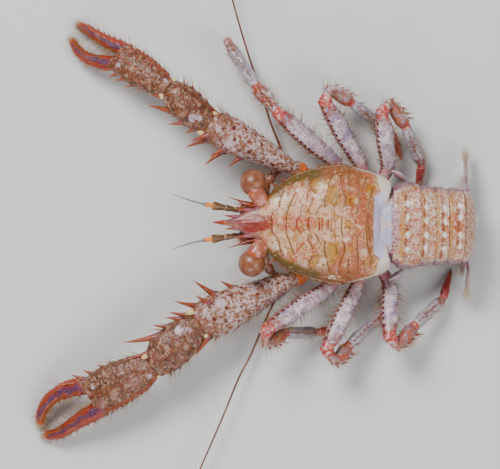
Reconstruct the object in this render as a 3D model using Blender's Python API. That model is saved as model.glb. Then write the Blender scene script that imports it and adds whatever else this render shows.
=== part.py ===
"""A squat lobster, Galathea spinosorostris, as a still life-size model.

The head points to -X, the tail to +X and the animal's right side to +Y. It stands on
the floor, z = 0. Every length below is in millimetres, and MM turns it into metres
when a mesh is made.
"""

import math
import random

import bmesh
import bpy
from mathutils import Matrix, Vector

MM = 0.001
GAP = 0.3            # clear space between one piece and the next
FLOOR = 0.0
UP = Vector((0, 0, 1))
SIDES = {"right": 1, "left": -1}

for old in list(bpy.context.scene.objects):
    bpy.data.objects.remove(old, do_unlink=True)

PARTS = bpy.data.collections.new("squat_lobster")
bpy.context.scene.collection.children.link(PARTS)


# Lines and sections

def vec(x, y, z):
    return Vector((x, y, z))


def flat_normal(direction, side):
    """The level direction square to a limb that points to the front of the animal."""
    return (UP.cross(direction) * side).normalized()


def between(table, value):
    """Straight-line reading of a table whose rows start with the value looked up."""
    if value <= table[0][0]:
        return table[0][1:]
    for low, high in zip(table, table[1:]):
        if value <= high[0]:
            share = (value - low[0]) / (high[0] - low[0])
            return [a + (b - a) * share for a, b in zip(low[1:], high[1:])]
    return table[-1][1:]


def smooth_line(points, steps=12):
    """Close-set points on a Catmull-Rom curve through the given points."""
    first = points[0] * 2 - points[1]
    last = points[-1] * 2 - points[-2]
    knots = [first] + list(points) + [last]
    line = []
    for a, b, c, d in zip(knots, knots[1:], knots[2:], knots[3:]):
        for i in range(steps):
            t = i / steps
            line.append((b * 2 + (c - a) * t + (a * 2 - b * 5 + c * 4 - d) * t**2
                         + (b * 3 - a - c * 3 + d) * t**3) / 2)
    line.append(points[-1].copy())
    return line


def oval(centre, across, up, half_width, half_height, sides):
    """Points round an ellipse."""
    turns = [2 * math.pi * i / sides for i in range(sides)]
    return [centre + across * (half_width * math.cos(turn)) + up * (half_height * math.sin(turn))
            for turn in turns]


class Limb:
    """A piece of a limb: oval sections set along a smooth line.

    The profile holds rows of share of length, half width and half height. Width is
    measured towards the front of the animal, or square to the given fold plane.
    """

    def __init__(self, points, profile, side, across=None, start_face=None, end_face=None):
        self.line = smooth_line(points)
        self.profile = profile
        self.side = side
        self.start_face = start_face
        self.end_face = end_face
        self.folded = across is not None
        self.across = across if self.folded else flat_normal(points[-1] - points[0], side)
        self.reach = [0.0]
        for a, b in zip(self.line, self.line[1:]):
            self.reach.append(self.reach[-1] + (b - a).length)

    def point(self, share):
        target = share * self.reach[-1]
        for i in range(1, len(self.reach)):
            if target <= self.reach[i] or i == len(self.reach) - 1:
                step = self.reach[i] - self.reach[i - 1]
                return self.line[i - 1].lerp(self.line[i], (target - self.reach[i - 1]) / step)

    def heading(self, share):
        step = 0.02
        return (self.point(min(1, share + step)) - self.point(max(0, share - step))).normalized()

    def frame(self, share):
        """Centre, heading, width direction and height direction at a share of the length."""
        heading = self.heading(share)
        across = (self.across - heading * self.across.dot(heading)).normalized()
        up = heading.cross(across) * (1 if self.folded else self.side)
        return self.point(share), heading, across, up

    def surface(self, share, angle):
        """A point on the surface, the outward normal there and the heading of the limb."""
        centre, heading, across, up = self.frame(share)
        half_width, half_height = between(self.profile, share)
        c, s = math.cos(angle), math.sin(angle)
        normal = (across * (c / half_width) + up * (s / half_height)).normalized()
        return centre + across * (half_width * c) + up * (half_height * s), normal, heading

    def rings(self, sides):
        rings = []
        for share, half_width, half_height in self.profile:
            centre, heading, across, up = self.frame(share)
            ring = oval(centre, across, up, half_width, half_height, sides)
            face = self.start_face if share == 0 else self.end_face if share == 1 else None
            if face is not None:
                slant = heading.dot(face)
                ring = [p - heading * ((p - centre).dot(face) / slant) for p in ring]
            rings.append(ring)
        return rings


# Meshes and objects

def loft(rings, paired_ends=False):
    """Closed mesh through rings of equal count.

    Each end is closed by a fan, or by quads from one half of the ring to the other.
    """
    mesh = bmesh.new()
    rows = [[mesh.verts.new(p * MM) for p in ring] for ring in rings]
    count = len(rows[0])
    for low, high in zip(rows, rows[1:]):
        for i in range(count):
            j = (i + 1) % count
            mesh.faces.new((low[i], low[j], high[j], high[i]))
    for row in (rows[0], rows[-1]):
        if paired_ends:
            for i in range(count // 2):
                corners = (row[i], row[i + 1], row[count - i - 1], row[(count - i) % count])
                mesh.faces.new(list(dict.fromkeys(corners)))
            continue
        middle = mesh.verts.new(sum((v.co for v in row), Vector()) / count)
        for i in range(count):
            mesh.faces.new((row[i], row[(i + 1) % count], middle))
    bmesh.ops.recalc_face_normals(mesh, faces=mesh.faces)
    return mesh


def largest_body(mesh):
    """Keeps only the closed surface that has the most faces."""
    left = set(mesh.faces)
    bodies = []
    while left:
        body = set()
        edge_of_search = [left.pop()]
        while edge_of_search:
            face = edge_of_search.pop()
            body.add(face)
            for edge in face.edges:
                for other in edge.link_faces:
                    if other in left:
                        left.remove(other)
                        edge_of_search.append(other)
        bodies.append(body)
    bodies.sort(key=len)
    spare = [face for body in bodies[:-1] for face in body]
    bmesh.ops.delete(mesh, geom=spare, context="FACES")


def finished_material(name, colour, roughness):
    material = bpy.data.materials.new(name)
    material.use_nodes = True
    shader = material.node_tree.nodes["Principled BSDF"]
    shader.inputs["Base Color"].default_value = (*colour, 1)
    shader.inputs["Roughness"].default_value = roughness
    return material


def node(name, body, joined=(), colour=(0.8, 0.6, 0.55), roughness=0.45, root=None):
    """Makes a named part from a body mesh, with other closed meshes fused to it."""
    mesh = bpy.data.meshes.new(name)
    body.to_mesh(mesh)
    body.free()
    part = bpy.data.objects.new(name, mesh)
    PARTS.objects.link(part)
    if joined:
        extras = bpy.data.collections.new(name + "_extras")
        bpy.context.scene.collection.children.link(extras)
        for extra in joined:
            extra_mesh = bpy.data.meshes.new(name + "_extra")
            extra.to_mesh(extra_mesh)
            extra.free()
            extras.objects.link(bpy.data.objects.new(name + "_extra", extra_mesh))
        union = part.modifiers.new("fuse", "BOOLEAN")
        union.operation = "UNION"
        union.operand_type = "COLLECTION"
        union.collection = extras
        union.solver = "EXACT"
        shaped = part.evaluated_get(bpy.context.evaluated_depsgraph_get())
        fused = bpy.data.meshes.new_from_object(shaped)
        part.modifiers.clear()
        part.data = fused
        for extra in list(extras.objects):
            bpy.data.objects.remove(extra, do_unlink=True)
        bpy.data.collections.remove(extras)
        whole = bmesh.new()
        whole.from_mesh(fused)
        largest_body(whole)
        whole.to_mesh(fused)
        whole.free()
    part.data.materials.clear()
    part.data.materials.append(finished_material(name, colour, roughness))
    part.data.shade_smooth()
    part.data.set_sharp_from_angle(angle=math.radians(40))
    if root is not None:
        part.data.transform(Matrix.Translation(-root * MM))
        part.location = root * MM
    return part


def settle(mesh):
    """Flattens what would reach below the floor, which leaves a small flat to stand on."""
    for vertex in mesh.verts:
        vertex.co.z = max(vertex.co.z, FLOOR)
    return mesh


# Spines: tapered, sunk into the surface that they stand on

SPINE_RADIUS = 0.23
SPINE_DEPTH = 0.10       # how far the whole root ring lies below the surface
VARY = random.Random(11)


def spine(place, normal, outward, length, radius=SPINE_RADIUS, sides=5):
    """One closed spine that stands at a place and points outward."""
    lean = outward.angle(normal)
    sink = (SPINE_DEPTH + radius * math.sin(lean)) / max(0.35, math.cos(lean))
    mesh = bmesh.new()
    bmesh.ops.create_cone(mesh, cap_ends=True, segments=sides, radius1=radius * MM, radius2=0,
                          depth=(length + sink) * MM)
    mesh.transform(outward.to_track_quat("Z", "Y").to_matrix().to_4x4())
    bmesh.ops.translate(mesh, verts=mesh.verts, vec=(place + outward * ((length - sink) / 2)) * MM)
    return mesh


def spine_row(limb, angle, first, last, count, short, long, lean, radius=SPINE_RADIUS):
    """Spines along a limb piece at one angle round it, which lean to its far end."""
    row = []
    for i in range(count):
        share = i / max(1, count - 1)
        along = first + (last - first) * share + VARY.uniform(-0.012, 0.012)
        place, normal, heading = limb.surface(along, math.radians(angle + VARY.uniform(-7, 7)))
        tilt = math.radians(lean + VARY.uniform(-5, 5))
        outward = (normal * math.cos(tilt) + heading * math.sin(tilt)).normalized()
        length = (short + (long - short) * share) * VARY.uniform(0.88, 1.12)
        row.append(spine(place, normal, outward, length, radius))
    return row


def spine_rows(limb, rows):
    return [mesh for row in rows for mesh in spine_row(limb, *row)]


# Carapace with its rostrum

# Rows of midline x, half width, top z and underside z
CARAPACE_SECTIONS = [
    (-2.56, 0.07, 4.44, 4.30),
    (-2.00, 0.22, 4.54, 4.20),
    (-1.20, 0.36, 4.64, 4.12),
    (-0.40, 0.68, 4.74, 4.06),
    (0.30, 1.00, 4.86, 4.00),
    (0.75, 1.40, 4.98, 3.92),
    (1.00, 1.86, 5.04, 3.86),
    (1.46, 2.33, 5.14, 3.66),
    (1.97, 2.74, 5.26, 3.45),
    (2.68, 3.16, 5.40, 3.32),
    (3.42, 3.42, 5.50, 3.25),
    (4.41, 3.67, 5.60, 3.25),
    (5.73, 3.86, 5.66, 3.25),
    (6.73, 3.66, 5.58, 3.25),
    (7.50, 3.34, 5.40, 3.25),
    (7.80, 3.14, 5.24, 3.26),
    (8.00, 2.88, 5.12, 3.28),
]
STRIAE = [1.82, 2.25, 2.86, 3.58, 4.29, 4.88, 5.76, 6.86, 7.38]
STRIA_RISE = 0.10
STRIA_RUN = 0.10
MARGIN_HEIGHT = 0.42
# Spines on the edges of rostrum and carapace: x, length and degrees outward from the front
EDGE_SPINES = [(-0.62, 1.25, 5), (0.12, 1.40, 9), (0.52, 0.90, 6), (1.52, 0.46, 28),
               (1.98, 0.46, 40), (2.60, 0.46, 44), (3.30, 0.44, 46), (4.10, 0.42, 48),
               (4.95, 0.40, 48), (5.80, 0.38, 48)]
BROW_SPINE_X = 1.60
LOBE_START = 6.2
LOBE_REACH = 0.90


def carapace_point(x, v, rise=0.0):
    """Surface point for midline place x and share v across, from -1 left to 1 right."""
    half_width, top, low = between(CARAPACE_SECTIONS, x)
    margin = low + min(MARGIN_HEIGHT, (top - low) * 0.5)
    turn = v * math.pi / 2
    spread = math.sin(turn)
    lift = max(0.0, math.cos(turn)) ** 0.75
    behind = max(0.0, (x - LOBE_START) / (8.0 - LOBE_START)) ** 2 * LOBE_REACH
    edge = min(1.0, max(0.0, (abs(spread) - 0.55) / 0.3))
    z = margin + (top - margin + rise) * lift
    return vec(x + behind * edge * edge * (3 - 2 * edge), half_width * spread, z)


def carapace_ring(x, rise=0.0, columns=14):
    low = between(CARAPACE_SECTIONS, x)[2]
    back = [carapace_point(x, -1 + 2 * i / columns, rise) for i in range(columns + 1)]
    return back + [vec(above.x, above.y, low) for above in reversed(back[1:-1])]


def carapace():
    rings = [carapace_ring(row[0]) for row in CARAPACE_SECTIONS if row[0] < STRIAE[0] - STRIA_RUN]
    for x in STRIAE:
        rings.append(carapace_ring(x - STRIA_RUN / 2))
        rings.append(carapace_ring(x + STRIA_RUN / 2, STRIA_RISE))
    rings.append(carapace_ring(7.80))
    rings.append(carapace_ring(8.00))
    spines = []
    for side in SIDES.values():
        for x, length, out in EDGE_SPINES:
            edge = carapace_point(x, side)
            turn = math.radians(out)
            outward = vec(-math.cos(turn), side * math.sin(turn), 0.06).normalized()
            length *= VARY.uniform(0.94, 1.06)
            spines.append(spine(edge + UP * 0.04, vec(0, side, 0), outward, length))
        brow = carapace_point(BROW_SPINE_X, side * 0.34)
        spines.append(spine(brow, UP, vec(-0.75, side * 0.05, 0.66).normalized(), 0.5))
    node("carapace", loft(rings, paired_ends=True), spines, colour=(0.80, 0.62, 0.50), root=vec(4, 0, 4))


# Thorax: the flanks below the carapace and the breastplate that carries the legs

BREAST_WIDTH = 2.55       # half width of the wall that the legs grow from
BREAST_LOW = 1.30
THORAX_SECTIONS = [       # x, half width of the flank, top z, flank underside z, lowest z
    (1.25, 1.80, 3.45, 2.75, 2.05),
    (1.80, 2.35, 3.10, 2.60, 1.55),
    (2.60, 2.95, 2.98, 2.50, BREAST_LOW),
    (3.60, 3.35, 2.93, 2.45, BREAST_LOW),
    (5.73, 3.72, 2.93, 2.45, BREAST_LOW),
    (7.30, 3.32, 2.93, 2.45, BREAST_LOW),
    (8.30, 2.75, 2.93, 2.45, 1.40),
    (8.80, 2.55, 2.90, 2.40, 1.50),
]


def thorax():
    rings = []
    for x, flank, top, flank_low, low in THORAX_SECTIONS:
        wall = min(BREAST_WIDTH, flank - 0.12)
        half = [(flank, top - 0.08), (flank, flank_low + 0.12), (flank - 0.08, flank_low),
                (wall, flank_low - 0.05), (wall, low + 0.15), (wall - 0.25, low)]
        ring = [vec(x, 0, top)]
        ring += [vec(x, y, z) for y, z in half]
        ring += [vec(x, 0, low - 0.02)]
        ring += [vec(x, -y, z) for y, z in reversed(half)]
        rings.append(ring)
    node("thorax", loft(rings), colour=(0.86, 0.66, 0.62), root=vec(5, 0, 2.2))


# Abdomen

# Rows of somite number, front x, rear x, front half width, rear half width, top z, pleura z
SOMITES = [
    (1, 8.44, 9.15, 1.52, 2.20, 4.90, 3.50),
    (2, 9.45, 10.62, 2.86, 2.90, 5.02, 3.00),
    (3, 10.93, 11.56, 2.66, 2.68, 5.06, 2.95),
    (4, 11.87, 12.42, 2.56, 2.58, 5.02, 2.95),
    (5, 12.73, 13.44, 2.52, 2.50, 4.92, 2.98),
]
SOMITE_GROOVE = 0.09
SOMITE_BEVEL = 0.10
SOMITE_LEAN = 0.22       # how far back each section leans for its height
SOMITE_WAIST = 4.0       # height at which a leaning section keeps its place
SOMITE_HOLLOW = 0.32     # rise of the underside between the pleura, as a share of the height
PLEURA_EDGE = 0.80       # share of the half width at which the underside starts to rise
PLEURA_RUN = 0.22


def somite_ring(x, half_width, top, low, columns=12):
    """Arched section with a hollow underside between the two pleura."""
    ring = []
    for i in range(columns + 1):
        turn = -math.pi / 2 + math.pi * i / columns
        spread = math.copysign(abs(math.sin(turn)) ** 0.85, math.sin(turn))
        ring.append(vec(x, half_width * spread, low + (top - low) * max(0.0, math.cos(turn)) ** 0.62))
    for above in reversed(ring[1:-1]):
        share = min(1.0, max(0.0, (PLEURA_EDGE - abs(above.y) / half_width) / PLEURA_RUN))
        ring.append(vec(x, above.y * 0.94, low + (top - low) * SOMITE_HOLLOW * share))
    return [p + vec(SOMITE_LEAN * (p.z - SOMITE_WAIST), 0, 0) for p in ring]


def abdomen():
    for number, front, rear, front_width, rear_width, top, low in SOMITES:
        length = rear - front
        rows = [(0, -SOMITE_BEVEL), (0.14, 0), (0.40, 0), (0.52, -SOMITE_GROOVE), (0.64, 0), (0.9, 0),
                (1, -SOMITE_BEVEL)]
        rings = []
        for share, rise in rows:
            half_width = front_width + (rear_width - front_width) * share + rise
            rings.append(somite_ring(front + length * share, half_width, top + rise, low - rise * 0.5))
        node("abdomen_somite_%d" % number, loft(rings, paired_ends=True), colour=(0.86, 0.70, 0.64),
             root=vec(front, 0, top - 1))


# Last somite, which turns the tail down, with the tail fan that hangs from it

BEND_X = 13.53
BEND_Z = 2.98
BEND_WIDTH = 2.42
BEND_STEPS = 5


def last_somite():
    first_turn = math.atan(SOMITE_LEAN)
    rings = []
    for step in range(BEND_STEPS + 1):
        share = step / BEND_STEPS
        turn = first_turn + (math.radians(90) - first_turn) * share
        out = vec(math.sin(turn), 0, math.cos(turn))
        inner = 0.06
        outer = 1.90 + (0.76 - 1.90) * share ** 0.68
        width = BEND_WIDTH - 0.25 * share
        hinge = vec(BEND_X, 0, BEND_Z)
        ring = []
        columns = 10
        for i in range(columns + 1):
            across = -math.pi / 2 + math.pi * i / columns
            reach = inner + (outer - inner) * max(0.0, math.cos(across)) ** 0.6
            ring.append(hinge + vec(0, width * math.sin(across), 0) + out * reach)
        ring.append(hinge + vec(0, width * 0.5, 0) + out * inner * 0.5)
        ring.append(hinge + vec(0, -width * 0.5, 0) + out * inner * 0.5)
        rings.append(ring)
    node("abdomen_somite_6", loft(rings), colour=(0.84, 0.68, 0.66), root=vec(BEND_X, 0, BEND_Z))


FAN_COLOUR = (0.80, 0.62, 0.66)
FAN_TOP = BEND_Z - GAP
PLATE = 0.26             # half thickness of the tail plates
OUTER_BLADES = {"right": (13.80, 4.22), "left": (14.02, 4.00)}    # x and y of each outer blade's end


def tail_fan():
    telson = Limb([vec(14.02, 0, FAN_TOP), vec(13.95, 0, 1.7), vec(13.80, 0, 0.62)],
                  [(0, PLATE, 0.86), (0.2, PLATE, 1.05), (0.55, PLATE, 1.08), (0.85, PLATE, 0.92),
                   (1, 0.2, 0.62)], 1, across=vec(1, 0, 0))
    node("telson", loft(telson.rings(12)), colour=FAN_COLOUR, root=vec(14.02, 0, FAN_TOP))
    for name, side in SIDES.items():
        root = vec(14.05, side * 1.62, FAN_TOP)
        stem = Limb([root, vec(14.0, side * 1.80, 2.25), vec(13.95, side * 2.20, 1.88)],
                    [(0, 0.28, 0.36), (0.5, 0.32, 0.42), (1, 0.3, 0.36)], 1, across=vec(1, 0, 0),
                    start_face=UP * -1)
        blade_x, blade_reach = OUTER_BLADES[name]
        outer = Limb([vec(13.99, side * 1.84, 2.02), vec(blade_x + 0.06, side * 3.0, 1.9),
                      vec(blade_x, side * blade_reach, 1.45)],
                     [(0, PLATE, 0.3), (0.35, PLATE, 0.66), (0.75, PLATE, 0.74), (0.93, 0.22, 0.5),
                      (1, 0.16, 0.2)], 1, across=vec(1, 0, 0))
        inner = Limb([vec(13.91, side * 1.97, 2.12), vec(13.80, side * 2.27, 1.4),
                      vec(13.70, side * 2.62, 0.6)],
                     [(0, 0.24, 0.3), (0.3, 0.24, 0.5), (0.7, 0.24, 0.62), (0.92, 0.2, 0.42),
                      (1, 0.16, 0.2)], 1, across=vec(1, 0, 0))
        node("uropod_" + name, loft(stem.rings(8)), [loft(outer.rings(8)), loft(inner.rings(8))],
             colour=FAN_COLOUR, root=root)


# Eyes: a short stalk with the round cornea at its end

EYE_RADIUS = 0.88


def eyes():
    for name, side in SIDES.items():
        root = vec(0.20, side * 1.66, 4.28)
        cornea = vec(-0.04, side * 2.62, 4.22)
        end = cornea + (cornea - root).normalized() * EYE_RADIUS
        length = (end - root).length
        rows = [(0, 0.40), (0.12, 0.50)]
        for i in range(7):
            turn = math.radians(-52 + i * 23)
            along = length - EYE_RADIUS * (1 - math.sin(turn))
            rows.append((along / length, EYE_RADIUS * math.cos(turn)))
        rows.append((1, 0.12))
        eye = Limb([root, root.lerp(cornea, 0.5), end], [(share, r, r) for share, r in rows], side)
        node("eye_" + name, loft(eye.rings(12)), colour=(0.30, 0.13, 0.09), roughness=0.2, root=root)


# Antennules and antennae

FEELER = 0.25            # half thickness of the thin feelers


def antennules():
    for name, side in SIDES.items():
        line = [vec(0.93, side * 0.62, 3.02), vec(0.0, side * 0.78, 3.30),
                vec(-1.12, side * 0.86, 3.55), vec(-2.20, side * 1.02, 3.85),
                vec(-3.00, side * 1.14, 3.98), vec(-3.90, side * 1.34, 4.05),
                vec(-5.10, side * 1.74, 4.15)]
        rows = [(0, 0.36, 0.34), (0.12, 0.42, 0.40), (0.30, 0.40, 0.38), (0.38, 0.28, 0.28),
                (0.52, 0.26, 0.26), (0.62, 0.28, 0.28), (0.70, FEELER, FEELER), (0.9, 0.2, 0.2),
                (1, 0.08, 0.08)]
        stalk = Limb(line, rows, side, start_face=vec(-1, 0, 0))
        node("antennule_" + name, loft(stalk.rings(8)), colour=(0.55, 0.36, 0.16), root=line[0])


# Where each whip bends, seen from its peduncle to its tip
WHIPS = {
    "right": [(1.86, 3.78, 1.04), (1.74, 4.84, 0.94), (1.00, 6.71, 0.96), (0.40, 8.60, 1.05),
              (-0.36, 10.66, 1.10), (-1.25, 13.44, 1.15), (-2.08, 16.42, 1.20),
              (-2.80, 19.10, 1.30), (-3.46, 21.60, 1.45)],
    "left": [(1.84, -3.80, 1.04), (1.66, -4.70, 0.90), (1.07, -5.96, 0.94), (0.00, -8.58, 1.05),
             (-0.75, -10.09, 1.10), (-1.80, -12.75, 1.15), (-2.91, -15.42, 1.20),
             (-4.30, -18.70, 1.30), (-5.70, -22.00, 1.45)],
}
WHIP_JOINT = 4           # bend at which the whip's first length meets its second


WHIP_TIP = 0.10
WHIP_COLOUR = (0.72, 0.55, 0.50)


def whip(name, points, first_size, last_size):
    """A thin round feeler that tapers, made as a curve and turned into a mesh."""
    line = smooth_line(points, 3)
    data = bpy.data.curves.new(name, "CURVE")
    data.dimensions = "3D"
    data.bevel_depth = MM
    data.bevel_resolution = 2
    data.use_fill_caps = True
    strand = data.splines.new("POLY")
    strand.points.add(len(line) - 1)
    for i, place in enumerate(line):
        share = i / (len(line) - 1)
        strand.points[i].co = (*(place * MM), 1)
        strand.points[i].radius = first_size + (last_size - first_size) * share
    guide = bpy.data.objects.new(name + "_curve", data)
    bpy.context.scene.collection.objects.link(guide)
    shaped = guide.evaluated_get(bpy.context.evaluated_depsgraph_get())
    tube = bpy.data.meshes.new_from_object(shaped)
    bpy.data.objects.remove(guide, do_unlink=True)
    mesh = bmesh.new()
    mesh.from_mesh(tube)
    bmesh.ops.remove_doubles(mesh, verts=mesh.verts, dist=0.001 * MM)
    bpy.data.meshes.remove(tube)
    node(name, mesh, colour=WHIP_COLOUR, root=points[0])


def antennae():
    for name, side in SIDES.items():
        bends = [vec(*place) for place in WHIPS[name]]
        root = vec(0.90, side * 1.58, 2.48)
        peduncle = Limb([root, vec(0.60, side * 1.87, 2.26), vec(0.80, side * 2.56, 1.86),
                         vec(1.27, side * 3.12, 1.46), vec(1.74, side * 3.46, 1.20)],
                        [(0, 0.32, 0.32), (0.12, 0.40, 0.38), (0.45, 0.40, 0.36), (0.52, 0.33, 0.32),
                         (0.78, 0.36, 0.34), (0.84, 0.28, 0.28), (1, 0.27, 0.27)], side,
                        start_face=vec(-1, 0, 0), end_face=(bends[1] - bends[0]).normalized())
        node("antenna_base_" + name, loft(peduncle.rings(8)), colour=(0.80, 0.52, 0.40), root=root)
        near = bends[:WHIP_JOINT + 1]
        near[-1] = near[-1] + (near[-2] - near[-1]).normalized() * GAP / 2
        far = bends[WHIP_JOINT:]
        far[0] = far[0] + (far[1] - far[0]).normalized() * GAP / 2
        whip("antenna_whip_near_" + name, near, FEELER, FEELER)
        whip("antenna_whip_far_" + name, far, FEELER, WHIP_TIP)


# Third maxillipeds, folded below the head

def maxillipeds():
    for name, side in SIDES.items():
        line = [vec(0.93, side * 0.72, 1.98), vec(0.2, side * 0.95, 1.66), vec(-0.7, side * 0.95, 1.50),
                vec(-1.25, side * 0.72, 1.80)]
        rows = [(0, 0.30, 0.30), (0.15, 0.38, 0.36), (0.42, 0.36, 0.34), (0.48, 0.28, 0.28),
                (0.62, 0.33, 0.31), (0.78, 0.26, 0.26), (0.92, 0.2, 0.2), (1, 0.1, 0.1)]
        jaw_leg = Limb(line, rows, side, start_face=vec(-1, 0, 0))
        node("maxilliped_" + name, loft(jaw_leg.rings(8)), colour=(0.80, 0.50, 0.42), root=line[0])


# Chelipeds, the long legs with the claws

# Places along each cheliped's middle line, and its half widths
CHELIPEDS = {
    "right": {
        "root": (3.50, 2.85, 1.72), "hip": (2.98, 3.46, 1.80), "thigh": (2.46, 3.66, 2.10),
        "elbow": (-2.98, 6.38, 3.15), "wrist": (-5.62, 8.62, 3.00), "knuckle": (-8.98, 10.68, 2.10),
        "merus": 1.08, "carpus": 1.07, "palm": 1.05, "spread": 0.60, "finger": 0.37,
        "fixed": [(-8.20, 11.02, 2.20), (-9.60, 11.62, 1.60), (-10.8, 12.32, 0.95),
                  (-11.64, 12.86, 0.22)],
        "moving": [(-10.55, 10.42, 1.45), (-11.50, 10.96, 0.90), (-12.10, 11.84, 0.22)],
    },
    "left": {
        "root": (3.50, -2.85, 1.72), "hip": (2.96, -3.46, 1.80), "thigh": (2.42, -3.70, 2.10),
        "elbow": (-3.44, -6.58, 3.15), "wrist": (-6.40, -9.38, 3.00), "knuckle": (-10.36, -11.50, 2.10),
        "merus": 1.28, "carpus": 1.28, "palm": 1.40, "spread": 0.92, "finger": 0.46,
        "fixed": [(-9.50, -12.12, 2.15), (-11.0, -12.95, 1.60), (-12.4, -13.88, 0.95),
                  (-13.48, -14.12, 0.24)],
        "moving": [(-12.1, -11.10, 1.55), (-13.2, -11.85, 1.10), (-13.66, -12.80, 0.66),
                   (-13.72, -13.42, 0.24)],
    },
}
ISCHIUM_ROWS = [(0, 0.46, 0.42), (0.3, 0.52, 0.46), (0.7, 0.55, 0.48), (1, 0.46, 0.46)]
# Rows of share of length, and half width and half height as shares of the named size
MERUS_ROWS = [(0, 0.44, 0.48), (0.07, 0.54, 0.58), (0.25, 0.68, 0.72), (0.50, 0.88, 0.88),
              (0.76, 1.03, 0.94), (0.92, 0.98, 0.88), (1, 0.78, 0.72)]
CARPUS_ROWS = [(0, 0.62, 0.55), (0.14, 0.86, 0.74), (0.45, 1.0, 0.90), (0.80, 0.96, 0.86), (1, 0.68, 0.62)]
PALM_ROWS = [(0, 0.58, 0.52), (0.12, 0.76, 0.64), (0.40, 0.95, 0.76), (0.75, 1.02, 0.74), (1, 0.86, 0.56)]
# Rows of spines: degrees from the front side over the top, first and last share of length,
# count, first and last length, degrees of lean to the far end
MERUS_SPINES = [(4, 0.16, 0.90, 5, 0.60, 1.25, 46), (48, 0.20, 0.90, 6, 0.45, 0.60, 42),
                (92, 0.28, 0.90, 5, 0.42, 0.60, 42), (134, 0.36, 0.90, 4, 0.42, 0.55, 42),
                (176, 0.45, 0.90, 4, 0.42, 0.85, 46)]
CARPUS_SPINES = [(4, 0.22, 0.80, 3, 0.70, 1.15, 44), (48, 0.20, 0.82, 4, 0.45, 0.60, 42),
                 (92, 0.22, 0.80, 3, 0.45, 0.55, 42), (134, 0.24, 0.80, 3, 0.42, 0.55, 42),
                 (176, 0.26, 0.80, 3, 0.45, 0.65, 44)]
PALM_SPINES = [(0, 0.16, 0.84, 5, 0.60, 0.70, 42), (40, 0.20, 0.90, 5, 0.42, 0.50, 40),
               (75, 0.20, 0.88, 5, 0.42, 0.48, 40), (108, 0.24, 0.90, 5, 0.42, 0.48, 40),
               (145, 0.20, 0.90, 5, 0.42, 0.48, 40), (180, 0.20, 0.92, 5, 0.42, 0.50, 42)]
FIXED_SPINES = [(180, 0.42, 0.80, 4, 0.34, 0.28, 40)]
MOVING_SPINES = [(0, 0.14, 0.74, 5, 0.42, 0.28, 40)]
FINGER_SPINE = 0.17      # root radius of the small spines on the fingers
FINGER_ROWS = [(0, 1.0, 1.05), (0.3, 1.0, 1.0), (0.6, 0.85, 0.85), (0.85, 0.62, 0.62), (1, 0.30, 0.34)]
MERUS_HEIGHT = 1.02
CARPUS_HEIGHT = 0.98
PALM_HEIGHT = 1.0
CLAW_COLOUR = (0.66, 0.38, 0.32)


def scaled(rows, width, height=None):
    height = width if height is None else height
    return [(share, a * width, b * height) for share, a, b in rows]


def cheliped(name, side):
    sizes = CHELIPEDS[name]
    bends = ("root", "hip", "thigh", "elbow", "wrist", "knuckle")
    root, hip, thigh, elbow, wrist, knuckle = [vec(*sizes[bend]) for bend in bends]
    upper = (elbow - thigh).normalized()
    middle = (wrist - elbow).normalized()
    lower = (knuckle - wrist).normalized()
    elbow_face = (upper + middle).normalized()
    wrist_face = (middle + lower).normalized()
    thigh_face = ((thigh - hip).normalized() + upper).normalized()

    ischium = Limb([root, hip, thigh], ISCHIUM_ROWS, side, start_face=vec(0, side, 0),
                   end_face=thigh_face)
    node("cheliped_ischium_" + name, loft(ischium.rings(10)), colour=(0.85, 0.42, 0.16), root=root)

    merus_start = thigh + thigh_face * GAP
    merus = Limb([merus_start, merus_start.lerp(elbow, 0.5) + UP * 0.12, elbow - elbow_face * GAP / 2],
                 scaled(MERUS_ROWS, sizes["merus"], MERUS_HEIGHT), side, start_face=thigh_face,
                 end_face=elbow_face)
    node("cheliped_merus_" + name, loft(merus.rings(12)), spine_rows(merus, MERUS_SPINES),
         colour=CLAW_COLOUR, root=merus_start)

    carpus = Limb([elbow + elbow_face * GAP / 2, elbow.lerp(wrist, 0.5), wrist - wrist_face * GAP / 2],
                  scaled(CARPUS_ROWS, sizes["carpus"], CARPUS_HEIGHT), side, start_face=elbow_face,
                  end_face=wrist_face)
    node("cheliped_carpus_" + name, loft(carpus.rings(12)), spine_rows(carpus, CARPUS_SPINES),
         colour=CLAW_COLOUR, root=elbow)

    palm = Limb([wrist + wrist_face * GAP / 2, wrist.lerp(knuckle, 0.5), knuckle],
                scaled(PALM_ROWS, sizes["palm"], PALM_HEIGHT), side, start_face=wrist_face)
    fixed_line = [vec(*place) for place in sizes["fixed"]]
    finger_size = sizes["finger"]
    fixed = Limb(fixed_line, scaled(FINGER_ROWS, finger_size), side)
    teeth = spine_rows(fixed, [row + (FINGER_SPINE,) for row in FIXED_SPINES])
    node("cheliped_palm_" + name, loft(palm.rings(12)),
         [settle(loft(fixed.rings(8)))] + teeth + spine_rows(palm, PALM_SPINES),
         colour=CLAW_COLOUR, root=wrist)

    inward = palm.frame(1)[2]
    hinge = knuckle + inward * (sizes["spread"] - 0.04) + lower * GAP
    moving_line = [hinge] + [vec(*place) for place in sizes["moving"]]
    moving = Limb(moving_line, scaled(FINGER_ROWS, finger_size), side, start_face=lower)
    teeth = spine_rows(moving, [row + (FINGER_SPINE,) for row in MOVING_SPINES])
    node("cheliped_finger_" + name, settle(loft(moving.rings(8))), teeth, colour=(0.62, 0.20, 0.16),
         root=hinge)


# Walking legs

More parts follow.
